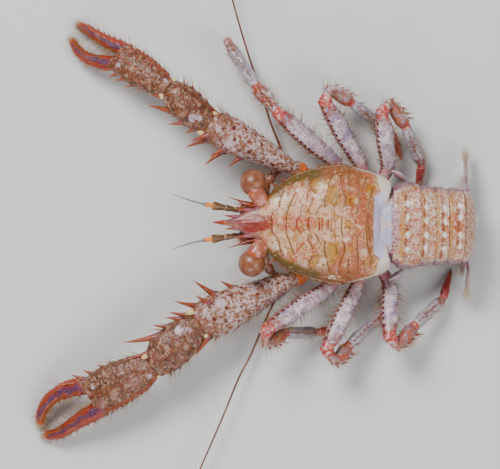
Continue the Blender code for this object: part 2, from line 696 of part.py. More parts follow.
# Places along each leg: root on the breast wall, hip at the carapace edge, knee, bend just
# past the knee, wrist, ankle and the point that stands on the floor
LEGS = {
    ("right", 2): [(5.55, 2.85, 1.68), (5.30, 3.95, 1.78), (1.52, 7.18, 3.70), None,
                   (0.06, 8.90, 3.20), (-1.74, 11.62, 2.05), (-1.82, 11.88, 0.0)],
    ("right", 3): [(7.00, 2.85, 1.68), (6.90, 3.95, 1.76), (4.28, 8.40, 3.55), (4.98, 8.60, 2.89),
                   (6.30, 7.92, 2.15), (8.95, 5.95, 0.90), (9.62, 4.38, 0.0)],
    ("right", 4): [(8.28, 2.85, 1.68), (8.72, 3.88, 1.80), (8.22, 7.84, 3.45), (8.82, 7.76, 2.85),
                   (9.84, 6.42, 2.05), (10.92, 3.95, 1.00), (10.70, 2.35, 0.0)],
    ("left", 2): [(5.50, -2.85, 1.68), (5.14, -3.95, 1.80), (0.58, -7.22, 4.35), (1.06, -7.64, 3.70),
                  (2.22, -7.14, 2.55), (4.30, -7.06, 0.98), (5.90, -6.76, 0.0)],
    ("left", 3): [(6.95, -2.85, 1.68), (6.83, -3.95, 1.76), (4.72, -8.60, 3.55), (5.60, -8.72, 2.84),
                  (6.36, -7.90, 2.15), (8.62, -5.72, 0.90), (9.45, -4.15, 0.0)],
    ("left", 4): [(8.28, -2.85, 1.68), (8.95, -3.88, 1.80), (9.02, -7.78, 3.45), (9.54, -7.72, 2.85),
                  (10.66, -6.52, 2.05), (12.44, -4.74, 1.00), (12.98, -2.94, 0.0)],
}
LEG_COLOUR = (0.84, 0.68, 0.70)
LEG_MERUS_ROWS = [(0, 0.40, 0.38), (0.14, 0.43, 0.42), (0.26, 0.48, 0.50), (0.5, 0.58, 0.56),
                  (0.8, 0.58, 0.54), (1, 0.40, 0.38)]
LEG_CARPUS_ROWS = [(0, 0.27, 0.27), (0.3, 0.36, 0.34), (0.65, 0.46, 0.44), (0.88, 0.46, 0.43),
                   (1, 0.36, 0.34)]
LEG_PROPODUS_ROWS = [(0, 0.32, 0.32), (0.12, 0.38, 0.38), (0.5, 0.38, 0.40), (0.88, 0.38, 0.38),
                     (1, 0.29, 0.29)]
LEG_DACTYLUS_ROWS = [(0, 0.27, 0.28), (0.15, 0.29, 0.31), (0.5, 0.27, 0.28), (0.8, 0.20, 0.20),
                     (1, 0.11, 0.11)]
LEG_MERUS_SPINES = [(52, 0.30, 0.92, 7, 0.34, 0.55, 40), (-60, 0.72, 0.90, 2, 0.34, 0.44, 40)]
LEG_CARPUS_SPINES = [(90, 0.34, 0.86, 4, 0.36, 0.48, 40)]
LEG_PROPODUS_SPINES = [(90, 0.16, 0.62, 3, 0.30, 0.34, 40)]
LEG_SPINE = 0.20         # root radius of the spines on the walking legs
KNEE_ROOM = 0.08         # more space at a folded knee, whose carpus turns back
OBLIQUE_CUT = 0.62       # how far the knee end of a folded leg's merus is set back


def leg_spines(limb, rows):
    return spine_rows(limb, [row + (LEG_SPINE,) for row in rows])


def leg(name, number):
    side = SIDES[name]
    root, hip, knee, bend, wrist, ankle, tip = [place and vec(*place) for place in LEGS[(name, number)]]
    label = "leg_%d_%s" % (number, name)
    thigh = (knee - hip).normalized()
    if bend is None:
        fore = (wrist - knee).normalized()
        knee_face = (thigh + fore).normalized()
        merus_end = knee - knee_face * GAP / 2
        carpus_line = [knee + knee_face * GAP / 2, knee.lerp(wrist, 0.5)]
        carpus_across = None
        carpus_face = knee_face
    else:
        merus_end = knee - thigh * OBLIQUE_CUT
        aside = bend - merus_end
        aside = (aside - thigh * aside.dot(thigh)).normalized()
        knee_face = (thigh + aside).normalized()
        start = merus_end + knee_face * (GAP + KNEE_ROOM)
        carpus_line = [start, bend + aside * KNEE_ROOM]
        carpus_across = (aside.cross(thigh) * -1).normalized()
        carpus_face = (knee_face + (bend - start).normalized()).normalized()
    fore = (wrist - carpus_line[-1]).normalized()
    shin = (ankle - wrist).normalized()
    foot = (tip - ankle).normalized()
    wrist_face = (fore + shin).normalized()
    ankle_face = (shin + foot).normalized()

    merus = Limb([root, hip, hip.lerp(merus_end, 0.5) + UP * 0.08, merus_end], LEG_MERUS_ROWS, side,
                 start_face=vec(0, side, 0), end_face=knee_face)
    node(label + "_merus", loft(merus.rings(10)), leg_spines(merus, LEG_MERUS_SPINES),
         colour=LEG_COLOUR, root=root)
    carpus = Limb(carpus_line + [wrist - wrist_face * GAP / 2], LEG_CARPUS_ROWS, side, across=carpus_across,
                  start_face=carpus_face, end_face=wrist_face)
    node(label + "_carpus", loft(carpus.rings(10)), leg_spines(carpus, LEG_CARPUS_SPINES),
         colour=LEG_COLOUR, root=carpus_line[0])
    propodus = Limb([wrist + wrist_face * GAP / 2, wrist.lerp(ankle, 0.5), ankle - ankle_face * GAP / 2],
                    LEG_PROPODUS_ROWS, side, start_face=wrist_face, end_face=ankle_face)
    node(label + "_propodus", loft(propodus.rings(10)), leg_spines(propodus, LEG_PROPODUS_SPINES),
         colour=LEG_COLOUR, root=wrist)
    heel = ankle + ankle_face * GAP / 2
    sag = heel.lerp(tip, 0.5) + UP * 0.12
    dactylus = Limb([heel, sag, tip], LEG_DACTYLUS_ROWS, side, across=flat_normal(shin, side),
                    start_face=ankle_face, end_face=UP * -1)
    node(label + "_dactylus", settle(loft(dactylus.rings(8))), colour=(0.85, 0.42, 0.36), root=ankle)


# Fifth legs, small and folded behind the others

FIFTH_LEGS = {
    "right": [(9.12, 1.85, 1.95), (9.76, 2.50, 2.05), (9.68, 3.05, 2.45), (9.08, 3.48, 2.70)],
    "left": [(9.12, -1.85, 1.95), (9.76, -2.50, 2.05), (9.68, -3.05, 2.45), (9.02, -3.50, 2.70)],
}


def fifth_legs():
    for name, side in SIDES.items():
        line = [vec(*place) for place in FIFTH_LEGS[name]]
        rows = [(0, 0.26, 0.26), (0.3, 0.27, 0.27), (0.6, 0.25, 0.25), (0.85, 0.27, 0.27), (1, 0.14, 0.14)]
        across = (line[1] - line[0]).cross(line[3] - line[1]).normalized()
        rod = Limb(line, rows, side, across=across, start_face=vec(1, 0, 0))
        node("leg_5_" + name, loft(rod.rings(8)), colour=(0.84, 0.62, 0.60), root=line[0])


carapace()
thorax()
abdomen()
last_somite()
tail_fan()
eyes()
antennules()
antennae()
maxillipeds()
for side_name, side_sign in SIDES.items():
    cheliped(side_name, side_sign)
for leg_side, leg_number in LEGS:
    leg(leg_side, leg_number)
fifth_legs()
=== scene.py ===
# The looks of a squat lobster, Galathea spinosorostris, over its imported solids. Lengths are
# in millimetres, and MM turns them into metres where a mesh is made. The head points to -X,
# the tail to +X and the animal's right side to +Y.
import math
import random

import bmesh
import bpy
import numpy as np
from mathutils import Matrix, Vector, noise


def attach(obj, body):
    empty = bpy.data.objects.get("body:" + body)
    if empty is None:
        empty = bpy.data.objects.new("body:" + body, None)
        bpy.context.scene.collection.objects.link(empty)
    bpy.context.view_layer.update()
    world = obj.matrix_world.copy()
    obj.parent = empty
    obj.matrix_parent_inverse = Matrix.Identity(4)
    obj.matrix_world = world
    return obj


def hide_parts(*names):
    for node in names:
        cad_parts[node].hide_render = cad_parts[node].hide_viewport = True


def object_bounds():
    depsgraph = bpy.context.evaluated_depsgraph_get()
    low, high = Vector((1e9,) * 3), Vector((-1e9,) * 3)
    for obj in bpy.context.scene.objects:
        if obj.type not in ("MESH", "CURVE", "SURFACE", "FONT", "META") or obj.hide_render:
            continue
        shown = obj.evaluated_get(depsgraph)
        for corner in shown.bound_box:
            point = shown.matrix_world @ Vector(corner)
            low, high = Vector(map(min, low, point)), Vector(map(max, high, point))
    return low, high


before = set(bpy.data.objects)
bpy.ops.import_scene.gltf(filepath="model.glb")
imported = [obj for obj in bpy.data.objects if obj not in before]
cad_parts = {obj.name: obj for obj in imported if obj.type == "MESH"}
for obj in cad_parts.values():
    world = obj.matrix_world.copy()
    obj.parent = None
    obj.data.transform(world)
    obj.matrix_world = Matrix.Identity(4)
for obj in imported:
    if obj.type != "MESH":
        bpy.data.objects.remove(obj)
cad_low, cad_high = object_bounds()
MM = 0.001


# The view: straight down on the back, with a long lens, as the photograph was taken.
# The floor is plain and pale, with a large soft lamp to the upper left, a fill lamp and
# an even pale sky.
VIEW_WIDTH = 32.5
VIEW_CENTRE = (-0.183, -0.751, 3.0)
VIEW_TURN = 0.0157
LENS = 500.0
SENSOR = 36.0
LAMPS = [  # place, size, power in watts
    ((-70, 110, 170), 90, 0.55),
    ((120, -60, 150), 120, 0.18),
    ((-20, -150, 90), 80, 0.12),
]


def view_and_light():
    camera = bpy.data.objects.new("camera", bpy.data.cameras.new("camera"))
    camera.data.lens = LENS
    camera.data.sensor_width = SENSOR
    distance = VIEW_WIDTH * LENS / SENSOR
    x, y, z = VIEW_CENTRE
    camera.location = (x * MM, y * MM, (z + distance) * MM)
    camera.rotation_euler = (0, 0, VIEW_TURN)
    bpy.context.scene.collection.objects.link(camera)
    bpy.context.scene.camera = camera
    for place, size, power in LAMPS:
        lamp = bpy.data.objects.new("lamp", bpy.data.lights.new("lamp", "AREA"))
        lamp.data.shape = "DISK"
        lamp.data.size = size * MM
        lamp.data.energy = power
        lamp.location = [c * MM for c in place]
        lamp.rotation_mode = "QUATERNION"
        lamp.rotation_quaternion = lamp.location.to_track_quat("Z", "Y")
        bpy.context.scene.collection.objects.link(lamp)
    sky = bpy.data.worlds.new("sky")
    sky.use_nodes = True
    sky.node_tree.nodes["Background"].inputs["Color"].default_value = (0.93, 0.95, 1.0, 1)
    sky.node_tree.nodes["Background"].inputs["Strength"].default_value = 0.32
    bpy.context.scene.world = sky
    sheet = bpy.data.meshes.new("floor")
    floor_mesh = bmesh.new()
    bmesh.ops.create_grid(floor_mesh, x_segments=1, y_segments=1, size=0.8)
    floor_mesh.to_mesh(sheet)
    floor_mesh.free()
    floor = bpy.data.objects.new("floor", sheet)
    floor.location.z = cad_low.z
    paper = bpy.data.materials.new("pale_floor")
    paper.use_nodes = True
    paper.node_tree.nodes["Principled BSDF"].inputs["Base Color"].default_value = (0.62, 0.62, 0.61, 1)
    paper.node_tree.nodes["Principled BSDF"].inputs["Roughness"].default_value = 0.9
    sheet.materials.append(paper)
    bpy.context.scene.collection.objects.link(floor)


view_and_light()


# The carapace: one shield of hard chitin from the rostrum to its notched rear edge,
# crossed by raised ridges that carry short hairs, with red spines along both edges. It
# is lofted across the back, and the spines and knobs are set on that surface.
UP = np.array((0.0, 0.0, 1.0))
SIDES = {"right": 1, "left": -1}


def vec(*numbers):
    return np.array(numbers, float)


def unit(arrows):
    return arrows / np.maximum(np.linalg.norm(arrows, axis=-1, keepdims=True), 1e-9)


def ramp(values, low, high):
    """Smooth step from 0 at low to 1 at high, or down where low is the larger."""
    t = np.clip((values - low) / (high - low), 0, 1)
    return t * t * (3 - 2 * t)


def hill(values, middle, width):
    return np.exp(-((values - middle) / width) ** 2)


def eased(table, values):
    """Smooth reading of a table whose rows start with the value looked up."""
    rows = np.array(table, float)
    x, y = rows[:, 0], rows[:, 1:]
    slope = np.gradient(y, x, axis=0)
    i = np.clip(np.searchsorted(x, values, side="right") - 1, 0, len(x) - 2)
    run = (x[i + 1] - x[i])[..., None]
    t = np.clip((values - x[i])[..., None] / run, 0, 1)
    start, end = y[i], y[i + 1]
    return (start * (1 + 2 * t) * (1 - t) ** 2 + end * t * t * (3 - 2 * t)
            + slope[i] * run * t * (1 - t) ** 2 - slope[i + 1] * run * t * t * (1 - t))


def lumps(points, size):
    """Smooth random heights from -1 to 1, with lumps of the given size."""
    flat = (points.reshape(-1, 3) / size).tolist()
    return np.array([noise.noise(p) for p in flat]).reshape(points.shape[:-1])


def knobs(points, size):
    """Heights from 0 to 1 of rounded knobs about the given size apart."""
    flat = (points.reshape(-1, 3) / size).tolist()
    gap = np.array([noise.voronoi(p)[0][0] for p in flat]).reshape(points.shape[:-1])
    return ramp(gap, 0.62, 0.12)


class Shape:
    """Gathers skins, spines and scraps of one piece, with named values at each point."""

    def __init__(self):
        self.points = []
        self.faces = []
        self.values = []
        self.count = 0

    def add(self, points, faces, values):
        self.points.append(points)
        self.faces += [face + self.count for face in faces]
        self.values.append((len(points), values))
        self.count += len(points)

    def skin(self, grid, **values):
        """A closed skin over rings of points, grid[ring, place round it]."""
        rings, sides = grid.shape[:2]
        number = np.arange(rings * sides).reshape(rings, sides)
        beside = np.roll(number, -1, axis=1)
        walls = np.stack([number[:-1], beside[:-1], beside[1:], number[1:]], -1).reshape(-1, 4)
        ends = []
        points = [grid.reshape(-1, 3)]
        for ring, pole in ((0, rings * sides), (-1, rings * sides + 1)):
            points.append(grid[ring].mean(axis=0)[None])
            corners = np.stack([number[ring], beside[ring], np.full(sides, pole)], -1)
            ends.append(corners[:, ::-1] if ring == 0 else corners)
        spread = {}
        for name, value in values.items():
            value = np.broadcast_to(value, (rings, sides))
            spread[name] = np.concatenate([value.ravel(), [value[0].mean(), value[-1].mean()]])
        self.add(np.concatenate(points), [walls] + ends, spread)

    def piece(self, name, finish, slot, nodes=(), outward=True):
        """Makes the object, rides it on the body and lets it stand for its solids."""
        mesh = bpy.data.meshes.new(name)
        points = np.concatenate(self.points) * MM
        points[:, 2] = np.maximum(points[:, 2], 0)
        mesh.vertices.add(len(points))
        mesh.vertices.foreach_set("co", points.astype(np.float32).ravel())
        sizes = np.concatenate([np.full(len(face), face.shape[1]) for face in self.faces])
        corners = np.concatenate([face.ravel() for face in self.faces])
        mesh.loops.add(len(corners))
        mesh.loops.foreach_set("vertex_index", corners.astype(np.int32))
        mesh.polygons.add(len(sizes))
        starts = np.concatenate(([0], np.cumsum(sizes)[:-1]))
        mesh.polygons.foreach_set("loop_start", starts.astype(np.int32))
        mesh.update(calc_edges=True)
        for key in sorted({key for _, values in self.values for key in values}):
            layer = mesh.attributes.new(key, "FLOAT", "POINT")
            filled = [np.broadcast_to(values.get(key, 0.0), count) for count, values in self.values]
            layer.data.foreach_set("value", np.concatenate(filled).astype(np.float32))
        if outward:
            turned = bmesh.new()
            turned.from_mesh(mesh)
            bmesh.ops.recalc_face_normals(turned, faces=turned.faces)
            turned.to_mesh(mesh)
            turned.free()
        mesh.shade_smooth()
        mesh.materials.append(finish)
        made = bpy.data.objects.new(name, mesh)
        bpy.context.scene.collection.objects.link(made)
        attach(made, "root")
        if nodes:
            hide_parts(*nodes)
        return made


SPINE_STEPS = vec(0, 0.10, 0.22, 0.38, 0.55, 0.72, 0.87, 0.96, 1)
SPINE_SIDES = 8


def add_spine(shape, root, normal, outward, length, radius, towards=None, **values):
    """One curved spine with a flared root sunk in the skin; its value spine runs to 1."""
    towards = normal if towards is None else towards
    lean = math.acos(float(np.clip(normal @ outward, -1, 1)))
    sunk = 0.05 + radius * math.sin(lean)
    square = max(0.0, math.cos(lean))
    t = SPINE_STEPS[:, None]
    centre = root + outward * ((length + sunk) * t - sunk) + towards * (0.16 * length * t * (t - 1))
    size = radius * (0.85 * (1 - t) ** 0.95 + 0.65 * square * np.exp(-t / 0.10)) + 0.008
    size = size * (1 - 0.95 * (1 - square) ** 2 * np.exp(-t / 0.06))
    side = unit(np.cross(outward, UP + vec(0.01, 0.02, 0)))
    other = np.cross(outward, side)
    turn = 2 * math.pi * np.arange(SPINE_SIDES) / SPINE_SIDES
    ring = np.cos(turn)[:, None] * side + np.sin(turn)[:, None] * other
    grid = centre[:, None] + size[:, None] * ring[None]
    shape.skin(grid, spine=0.04 + 0.96 * t, **values)


CARAPACE_SECTIONS = [  # midline x, half width, top z and underside z
    (-2.56, 0.05, 4.44, 4.30), (-2.00, 0.15, 4.54, 4.20), (-1.35, 0.28, 4.62, 4.14),
    (-1.00, 0.44, 4.66, 4.11), (-0.40, 0.80, 4.74, 4.06), (0.30, 1.12, 4.86, 4.00), (0.75, 1.44, 4.98, 3.92),
    (1.00, 1.86, 5.04, 3.86), (1.46, 2.33, 5.14, 3.66), (1.97, 2.74, 5.26, 3.45),
    (2.68, 3.16, 5.40, 3.32), (3.42, 3.42, 5.50, 3.25), (4.41, 3.67, 5.60, 3.25),
    (5.73, 3.86, 5.66, 3.25), (6.73, 3.66, 5.58, 3.25), (7.50, 3.34, 5.40, 3.25),
    (7.80, 3.12, 5.24, 3.26), (8.00, 2.84, 5.12, 3.28),
]
SHIELD_FRONT, SHIELD_REAR = -2.56, 8.0
SHIELD_GRID = (320, 230, 26)  # rows along, columns across the back, and columns underneath
SHIELD = []  # the shield's points and ridge lines, on which the setae stand later
MARGIN_HEIGHT = 0.42
LOBE_START = 6.2
LOBE_REACH = 0.90
STRIAE = [  # height of each ridge, then its turns, as y from the midline and x
    (0.7, ((0.00, 1.24), (0.60, 1.27), (1.00, 1.66), (1.40, 1.76), (1.88, 1.88))),
    (1.0, ((0.00, 2.19), (0.55, 2.20), (1.20, 2.42), (1.75, 2.62), (1.95, 2.72))),
    (0.8, ((0.00, 2.86), (0.30, 2.90), (0.50, 3.02), (0.64, 3.16))),
    (0.7, ((0.00, 3.58), (0.45, 3.62))),
    (0.7, ((0.72, 3.60), (1.02, 3.62), (1.40, 3.84), (1.66, 3.92))),
    (1.0, ((2.02, 4.02), (2.34, 3.74), (2.54, 3.68), (2.88, 3.80), (3.16, 4.00))),
    (0.7, ((0.00, 4.28), (0.44, 4.32))),
    (0.6, ((0.60, 4.06), (1.00, 4.26), (1.30, 4.44))),
    (1.0, ((0.00, 4.86), (0.32, 4.88))),
    (1.0, ((1.06, 4.68), (1.70, 4.66), (2.24, 4.80), (2.70, 4.94), (3.26, 5.12))),
    (0.7, ((1.30, 5.36), (1.60, 5.42), (1.96, 5.58))),
    (1.0, ((0.00, 5.76), (0.50, 5.79), (0.90, 5.86), (1.30, 5.94), (1.90, 5.92), (2.30, 5.76), (2.80, 5.65),
           (3.20, 5.62))),
    (0.8, ((2.20, 6.24), (2.70, 6.18), (3.24, 6.16))),
    (1.0, ((0.74, 6.74), (1.30, 6.80), (2.60, 6.83), (3.22, 6.82))),
    (0.5, ((2.30, 7.20), (2.74, 7.26), (3.10, 7.34))),
    (0.8, ((0.00, 7.34), (0.60, 7.40), (1.30, 7.46), (1.84, 7.54))),
    (0.6, ((1.70, 7.62), (2.10, 7.70), (2.50, 7.84))),
    (1.0, ((0.22, 7.68), (0.60, 7.74), (1.20, 7.84), (1.90, 8.01), (2.20, 8.16))),
]
STRIA_HEIGHT = 0.075


def carapace_places(x, v):
    """Points of the smooth shield for midline x and v from -1, left edge, to 1, right."""
    half_width, top, low = np.moveaxis(eased(CARAPACE_SECTIONS, x), -1, 0)
    margin = low + np.minimum(MARGIN_HEIGHT, (top - low) * 0.5)
    turn = v * math.pi / 2
    spread = np.sin(turn)
    lift = np.maximum(0.0, np.cos(turn)) ** 0.75
    behind = np.maximum(0.0, (x - LOBE_START) / (SHIELD_REAR - LOBE_START)) ** 2 * LOBE_REACH
    edge = np.clip((np.abs(spread) - 0.55) / 0.3, 0, 1)
    return np.stack([x + behind * edge * edge * (3 - 2 * edge), half_width * spread,
                     margin + (top - margin) * lift], -1)


def stria_marks(places):
    """Height of the ridges, and how strongly each place belongs to a ridge line."""
    height = np.zeros(places.shape[:2])
    line = np.zeros(height.shape)
    across = np.abs(places[..., 1])
    wander = 0.05 * lumps(places, 1.1) + 0.025 * lumps(places, 0.30)
    for strength, turns in STRIAE:
        first, last = turns[0][0], turns[-1][0]
        behind = places[..., 0] - eased(turns, across)[..., 0] - wander
        span = ramp(across, last + 0.06, last - 0.04)
        if first:
            span = span * ramp(across, first - 0.06, first + 0.04)
        ridge = np.where(behind < 0, hill(behind, 0, 0.035), np.exp(-np.maximum(behind, 0) / 0.15))
        height = np.maximum(height, ridge * span * strength)
        line = np.maximum(line, hill(behind, -0.015, 0.048) * span * ramp(lumps(places, 0.22), -0.75, -0.35))
    waves = np.sin(2 * math.pi * (places[..., 0] / 0.31 + 1.3 * lumps(places, 0.8)))
    broken = lumps(places * vec(1, 0.5, 1), 0.30)
    small = ramp(waves, 0.55, 0.98) * ramp(broken, 0.0, 0.3) * ramp(places[..., 0], 1.4, 2.4)
    small = small * (1 - ramp(height, 0.2, 0.5))
    return np.maximum(height, small * 0.34), line, small


def spot(places, x, y, long, wide, slant=0.0):
    """An oval mark at x and y from the midline, alike on both sides, turned by slant."""
    ahead = places[..., 0] - x
    aside = np.abs(places[..., 1]) - y
    turned = (ahead + aside * slant) / (long * math.hypot(1, slant))
    return ramp(np.hypot(turned, (aside - ahead * slant) / (wide * math.hypot(1, slant))), 1.15, 0.75)


def most(*masks):
    return np.maximum.reduce(masks)


def shield(shape):
    rows, columns, under = SHIELD_GRID
    x, v = np.meshgrid(np.linspace(SHIELD_FRONT, SHIELD_REAR, rows), np.linspace(-1, 1, columns), indexing="ij")
    places = carapace_places(x, v)
    height, line, small = stria_marks(places)
    edge_free = ramp(np.abs(v), 1.0, 0.93) * ramp(x, SHIELD_REAR, 7.85)
    groove = hill(x, 3.35 + 0.9 * np.abs(v), 0.13) * ramp(np.abs(v), 0.30, 0.45) * ramp(np.abs(v), 0.86, 0.7)
    keel = hill(v, 0, 0.16) * ramp(x, 1.2, -0.2) * 0.10
    rough = places + 0.10 * lumps(places, 0.35)[..., None]
    aside = np.abs(rough[..., 1])
    ahead = rough[..., 0]
    marks = {
        "stria": line, "small": small,
        "red": spot(rough, 0.15, 0.0, 1.15, 0.62),
        "lilac": ramp(ahead, 0.75, 0.25),
        "tip": ramp(ahead, -1.7, -2.15),
        "rosy": most(ramp(ahead, 1.25, 0.7), spot(rough, 1.6, 0.0, 0.7, 0.75), spot(rough, 3.2, 0.0, 1.6, 0.55)),
        "worms": most(spot(rough, 3.5, 1.75, 0.75, 0.75), spot(rough, 2.8, 2.1, 0.6, 0.45)),
        "tan": ramp(ahead + 0.55 * aside, 6.0, 6.9) * ramp(ahead, 7.9, 7.5),
        "ochre": most(spot(rough, 4.0, 2.45, 0.32, 0.55), spot(rough, 5.15, 1.85, 0.50, 0.75, 0.2),
                      spot(rough, 6.14, 0.0, 0.30, 0.32), spot(rough, 7.55, 2.35, 0.4, 0.35),
                      spot(rough, 6.25, 1.55, 0.35, 0.3)),
        "side": ramp(np.abs(v) + 0.06 * lumps(places, 0.6), 0.42, 0.74) * ramp(ahead, 7.4, 6.0),
        "green": ramp(np.abs(v) + 0.08 * lumps(places, 0.5), 0.56, 0.70) * ramp(ahead, 4.7, 3.8)
                 * (0.6 + 0.4 * ramp(aside, 2.2, 2.8)),
        "dim": spot(rough, 1.75, 1.95, 0.35, 0.30),
        "spark": most(*[hill(np.hypot((places[..., 0] - 2.75) * 0.9, aside), radius, 0.05)
                        * ramp(np.abs(places[..., 0] - 2.75), radius * 0.25, radius * 0.5)
                        for radius in (0.40, 0.68)],
                      *[hill(places[..., 0], at, 0.05) * ramp(aside, 0.42, 0.32)
                        for at in (4.5, 4.78, 5.06, 5.34)]),
        "pale": most(spot(rough, 4.50, 2.44, 0.42, 0.17, -0.55), spot(rough, 5.7, 0.62, 0.30, 0.09),
                     spot(rough, 6.0, 0.92, 0.36, 0.24, 0.5), spot(rough, 5.3, 3.44, 0.45, 0.10),
                     spot(rough, 1.55, 1.45, 0.28, 0.28), spot(rough, 2.05, 1.75, 0.14, 0.2)),
        "lobe": most(ramp(ahead + 0.35 * aside, 8.95, 9.15) * ramp(aside, 1.6, 1.8),
                     ramp(np.abs(v) + 0.09 * ramp(ahead, 5.6, 7.4), 0.90, 0.94) * ramp(ahead, 5.2, 5.8)),
        "rear": ramp(x, 7.78, 7.88) * ramp(np.abs(v), 0.55, 0.45),
        "rim": ramp(np.abs(v), 0.86, 0.93) * ramp(x, 1.0, 1.6),
    }
    places[..., 2] += edge_free * (STRIA_HEIGHT * height - 0.05 * groove) + keel
    places[..., 2] += 0.03 * lumps(places, 0.8) * edge_free * ramp(x, 0.8, 2.0)
    SHIELD.extend([places, line])
    share = np.linspace(1, -1, under + 2)[1:-1]
    low = np.stack([np.broadcast_to(x[:, :1], (rows, under)), places[:, -1:, 1] * share,
                    np.broadcast_to(eased(CARAPACE_SECTIONS, x[:, 0])[:, 2:3], (rows, under))], -1)
    low[..., 0] += (places[:, -1, 0] - x[:, 0])[:, None] * ramp(np.abs(share), 0.5, 0.9)
    full = {}
    for key, value in marks.items():
        edge = np.broadcast_to(value[:, -1:], (rows, under))
        full[key] = np.concatenate([value, edge], axis=1)
    shape.skin(np.concatenate([places, low], axis=1), **full)


def paint(red, green, blue):
    """Linear colour from the 0 to 255 values that an eye would name, a little deeper."""
    linear = [((c / 255 + 0.055) / 1.055) ** 2.4 if c > 10 else c / 3295 for c in (red, green, blue)]
    grey = sum(linear) / 3
    return tuple(max(0.0, 0.82 * (grey + 1.35 * (c - grey))) for c in linear)


class Finish:
    """A material made in layers: each coat of colour shows where its mask is high."""

    def __init__(self, name, colour, roughness=(0.35, 0.55), relief=0.02, grain=0.25):
        self.material = bpy.data.materials.new(name)
        self.material.use_nodes = True
        self.tree = self.material.node_tree
        self.shader = self.tree.nodes["Principled BSDF"]
        place = self.node("ShaderNodeTexCoord").outputs["Object"]
        scaled = self.node("ShaderNodeVectorMath", operation="SCALE")
        scaled.inputs["Scale"].default_value = 1 / MM
        self.tree.links.new(place, scaled.inputs[0])
        self.place = scaled.outputs[0]
        base = paint(*colour)
        self.colour = self.mixed(self.noise(0.9, 0.3, 0.7), base, [c * 0.86 for c in base])
        self.roughness = roughness
        self.relief = relief
        self.bumps = self.noise(grain, 0.2, 0.8)

    def node(self, kind, **settings):
        made = self.tree.nodes.new(kind)
        for key, value in settings.items():
            setattr(made, key, value)
        return made

    def plug(self, value, socket):
        if isinstance(value, bpy.types.NodeSocket):
            self.tree.links.new(value, socket)
        else:
            socket.default_value = value

    def mask(self, value, low, high):
        made = self.node("ShaderNodeMapRange", interpolation_type="SMOOTHSTEP")
        self.plug(value, made.inputs["Value"])
        made.inputs["From Min"].default_value = low
        made.inputs["From Max"].default_value = high
        return made.outputs["Result"]

    def stretched(self, stretch):
        made = self.node("ShaderNodeVectorMath", operation="MULTIPLY")
        self.plug(self.place, made.inputs[0])
        made.inputs[1].default_value = stretch
        return made.outputs[0]

    def noise(self, size, low, high, detail=2.0, stretch=None):
        made = self.node("ShaderNodeTexNoise")
        self.plug(self.stretched(stretch) if stretch else self.place, made.inputs["Vector"])
        made.inputs["Scale"].default_value = 1 / size
        made.inputs["Detail"].default_value = detail
        return self.mask(made.outputs["Fac"], low, high)

    def cells(self, size, low, high, stretch=None, randomness=1.0):
        made = self.node("ShaderNodeTexVoronoi")
        self.plug(self.stretched(stretch) if stretch else self.place, made.inputs["Vector"])
        made.inputs["Scale"].default_value = 1 / size
        made.inputs["Randomness"].default_value = randomness
        return self.mask(made.outputs["Distance"], low, high)

    def squiggles(self, size, width, stretch=None):
        """Thin wandering lines, where a smooth noise passes its middle."""
        made = self.node("ShaderNodeTexNoise")
        self.plug(self.stretched(stretch) if stretch else self.place, made.inputs["Vector"])
        made.inputs["Scale"].default_value = 1 / size
        made.inputs["Detail"].default_value = 0.6
        off = self.maths("ABSOLUTE", self.maths("SUBTRACT", made.outputs["Fac"], 0.5))
        return self.mask(off, width, width * 0.4)

    def value(self, name, low=0.0, high=1.0):
        made = self.node("ShaderNodeAttribute", attribute_name=name)
        return self.mask(made.outputs["Fac"], low, high)

    def maths(self, operation, a, b=0.0):
        made = self.node("ShaderNodeMath", operation=operation)
        self.plug(a, made.inputs[0])
        self.plug(b, made.inputs[1])
        return made.outputs[0]

    def both(self, *masks):
        total = None
        for mask in masks:
            if isinstance(mask, str):
                mask = self.value(mask)
            elif isinstance(mask, tuple):
                mask = (self.value if isinstance(mask[0], str) else self.noise)(*mask)
            total = mask if total is None else self.maths("MULTIPLY", total, mask)
        return total

    def mixed(self, mask, colour, other):
        made = self.node("ShaderNodeMix", data_type="RGBA")
        self.plug(mask, made.inputs[0])
        for value, socket in ((colour, made.inputs[6]), (other, made.inputs[7])):
            self.plug((*value, 1) if isinstance(value, (list, tuple)) else value, socket)
        return made.outputs[2]

    def coat(self, colour, *masks, strength=1.0):
        """Lays a colour over what is there, where all the masks are high.

        A mask is a socket, the name of a value of the mesh, such a name with the value's
        low and high, or the size, low and high of a noise.
        """
        mask = self.both(*masks)
        if strength != 1.0:
            mask = self.maths("MULTIPLY", mask, strength)
        self.colour = self.mixed(mask, self.colour, paint(*colour))

    def raise_by(self, mask, share):
        self.bumps = self.maths("ADD", self.bumps, self.maths("MULTIPLY", mask, share))

    def done(self, soft=0.0, shine=0.5, coat=0.0):
        self.plug(self.colour, self.shader.inputs["Base Color"])
        rough = self.node("ShaderNodeMapRange")
        self.plug(self.noise(0.35, 0.25, 0.75), rough.inputs["Value"])
        rough.inputs["To Min"].default_value, rough.inputs["To Max"].default_value = self.roughness
        self.plug(rough.outputs["Result"], self.shader.inputs["Roughness"])
        bump = self.node("ShaderNodeBump")
        bump.inputs["Distance"].default_value = self.relief * MM
        self.plug(self.bumps, bump.inputs["Height"])
        self.plug(bump.outputs["Normal"], self.shader.inputs["Normal"])
        self.shader.inputs["Specular IOR Level"].default_value = shine
        self.shader.inputs["Coat Weight"].default_value = coat
        self.shader.inputs["Coat Roughness"].default_value = 0.18
        if soft:
            self.shader.inputs["Subsurface Weight"].default_value = soft
            self.shader.inputs["Subsurface Radius"].default_value = (0.35, 0.18, 0.12)
            self.shader.inputs["Subsurface Scale"].default_value = MM
        return self.material


SPINE_RED = (138, 68, 42)
SPINE_PLUM = (112, 44, 40)
SPINE_TIP = (226, 170, 140)


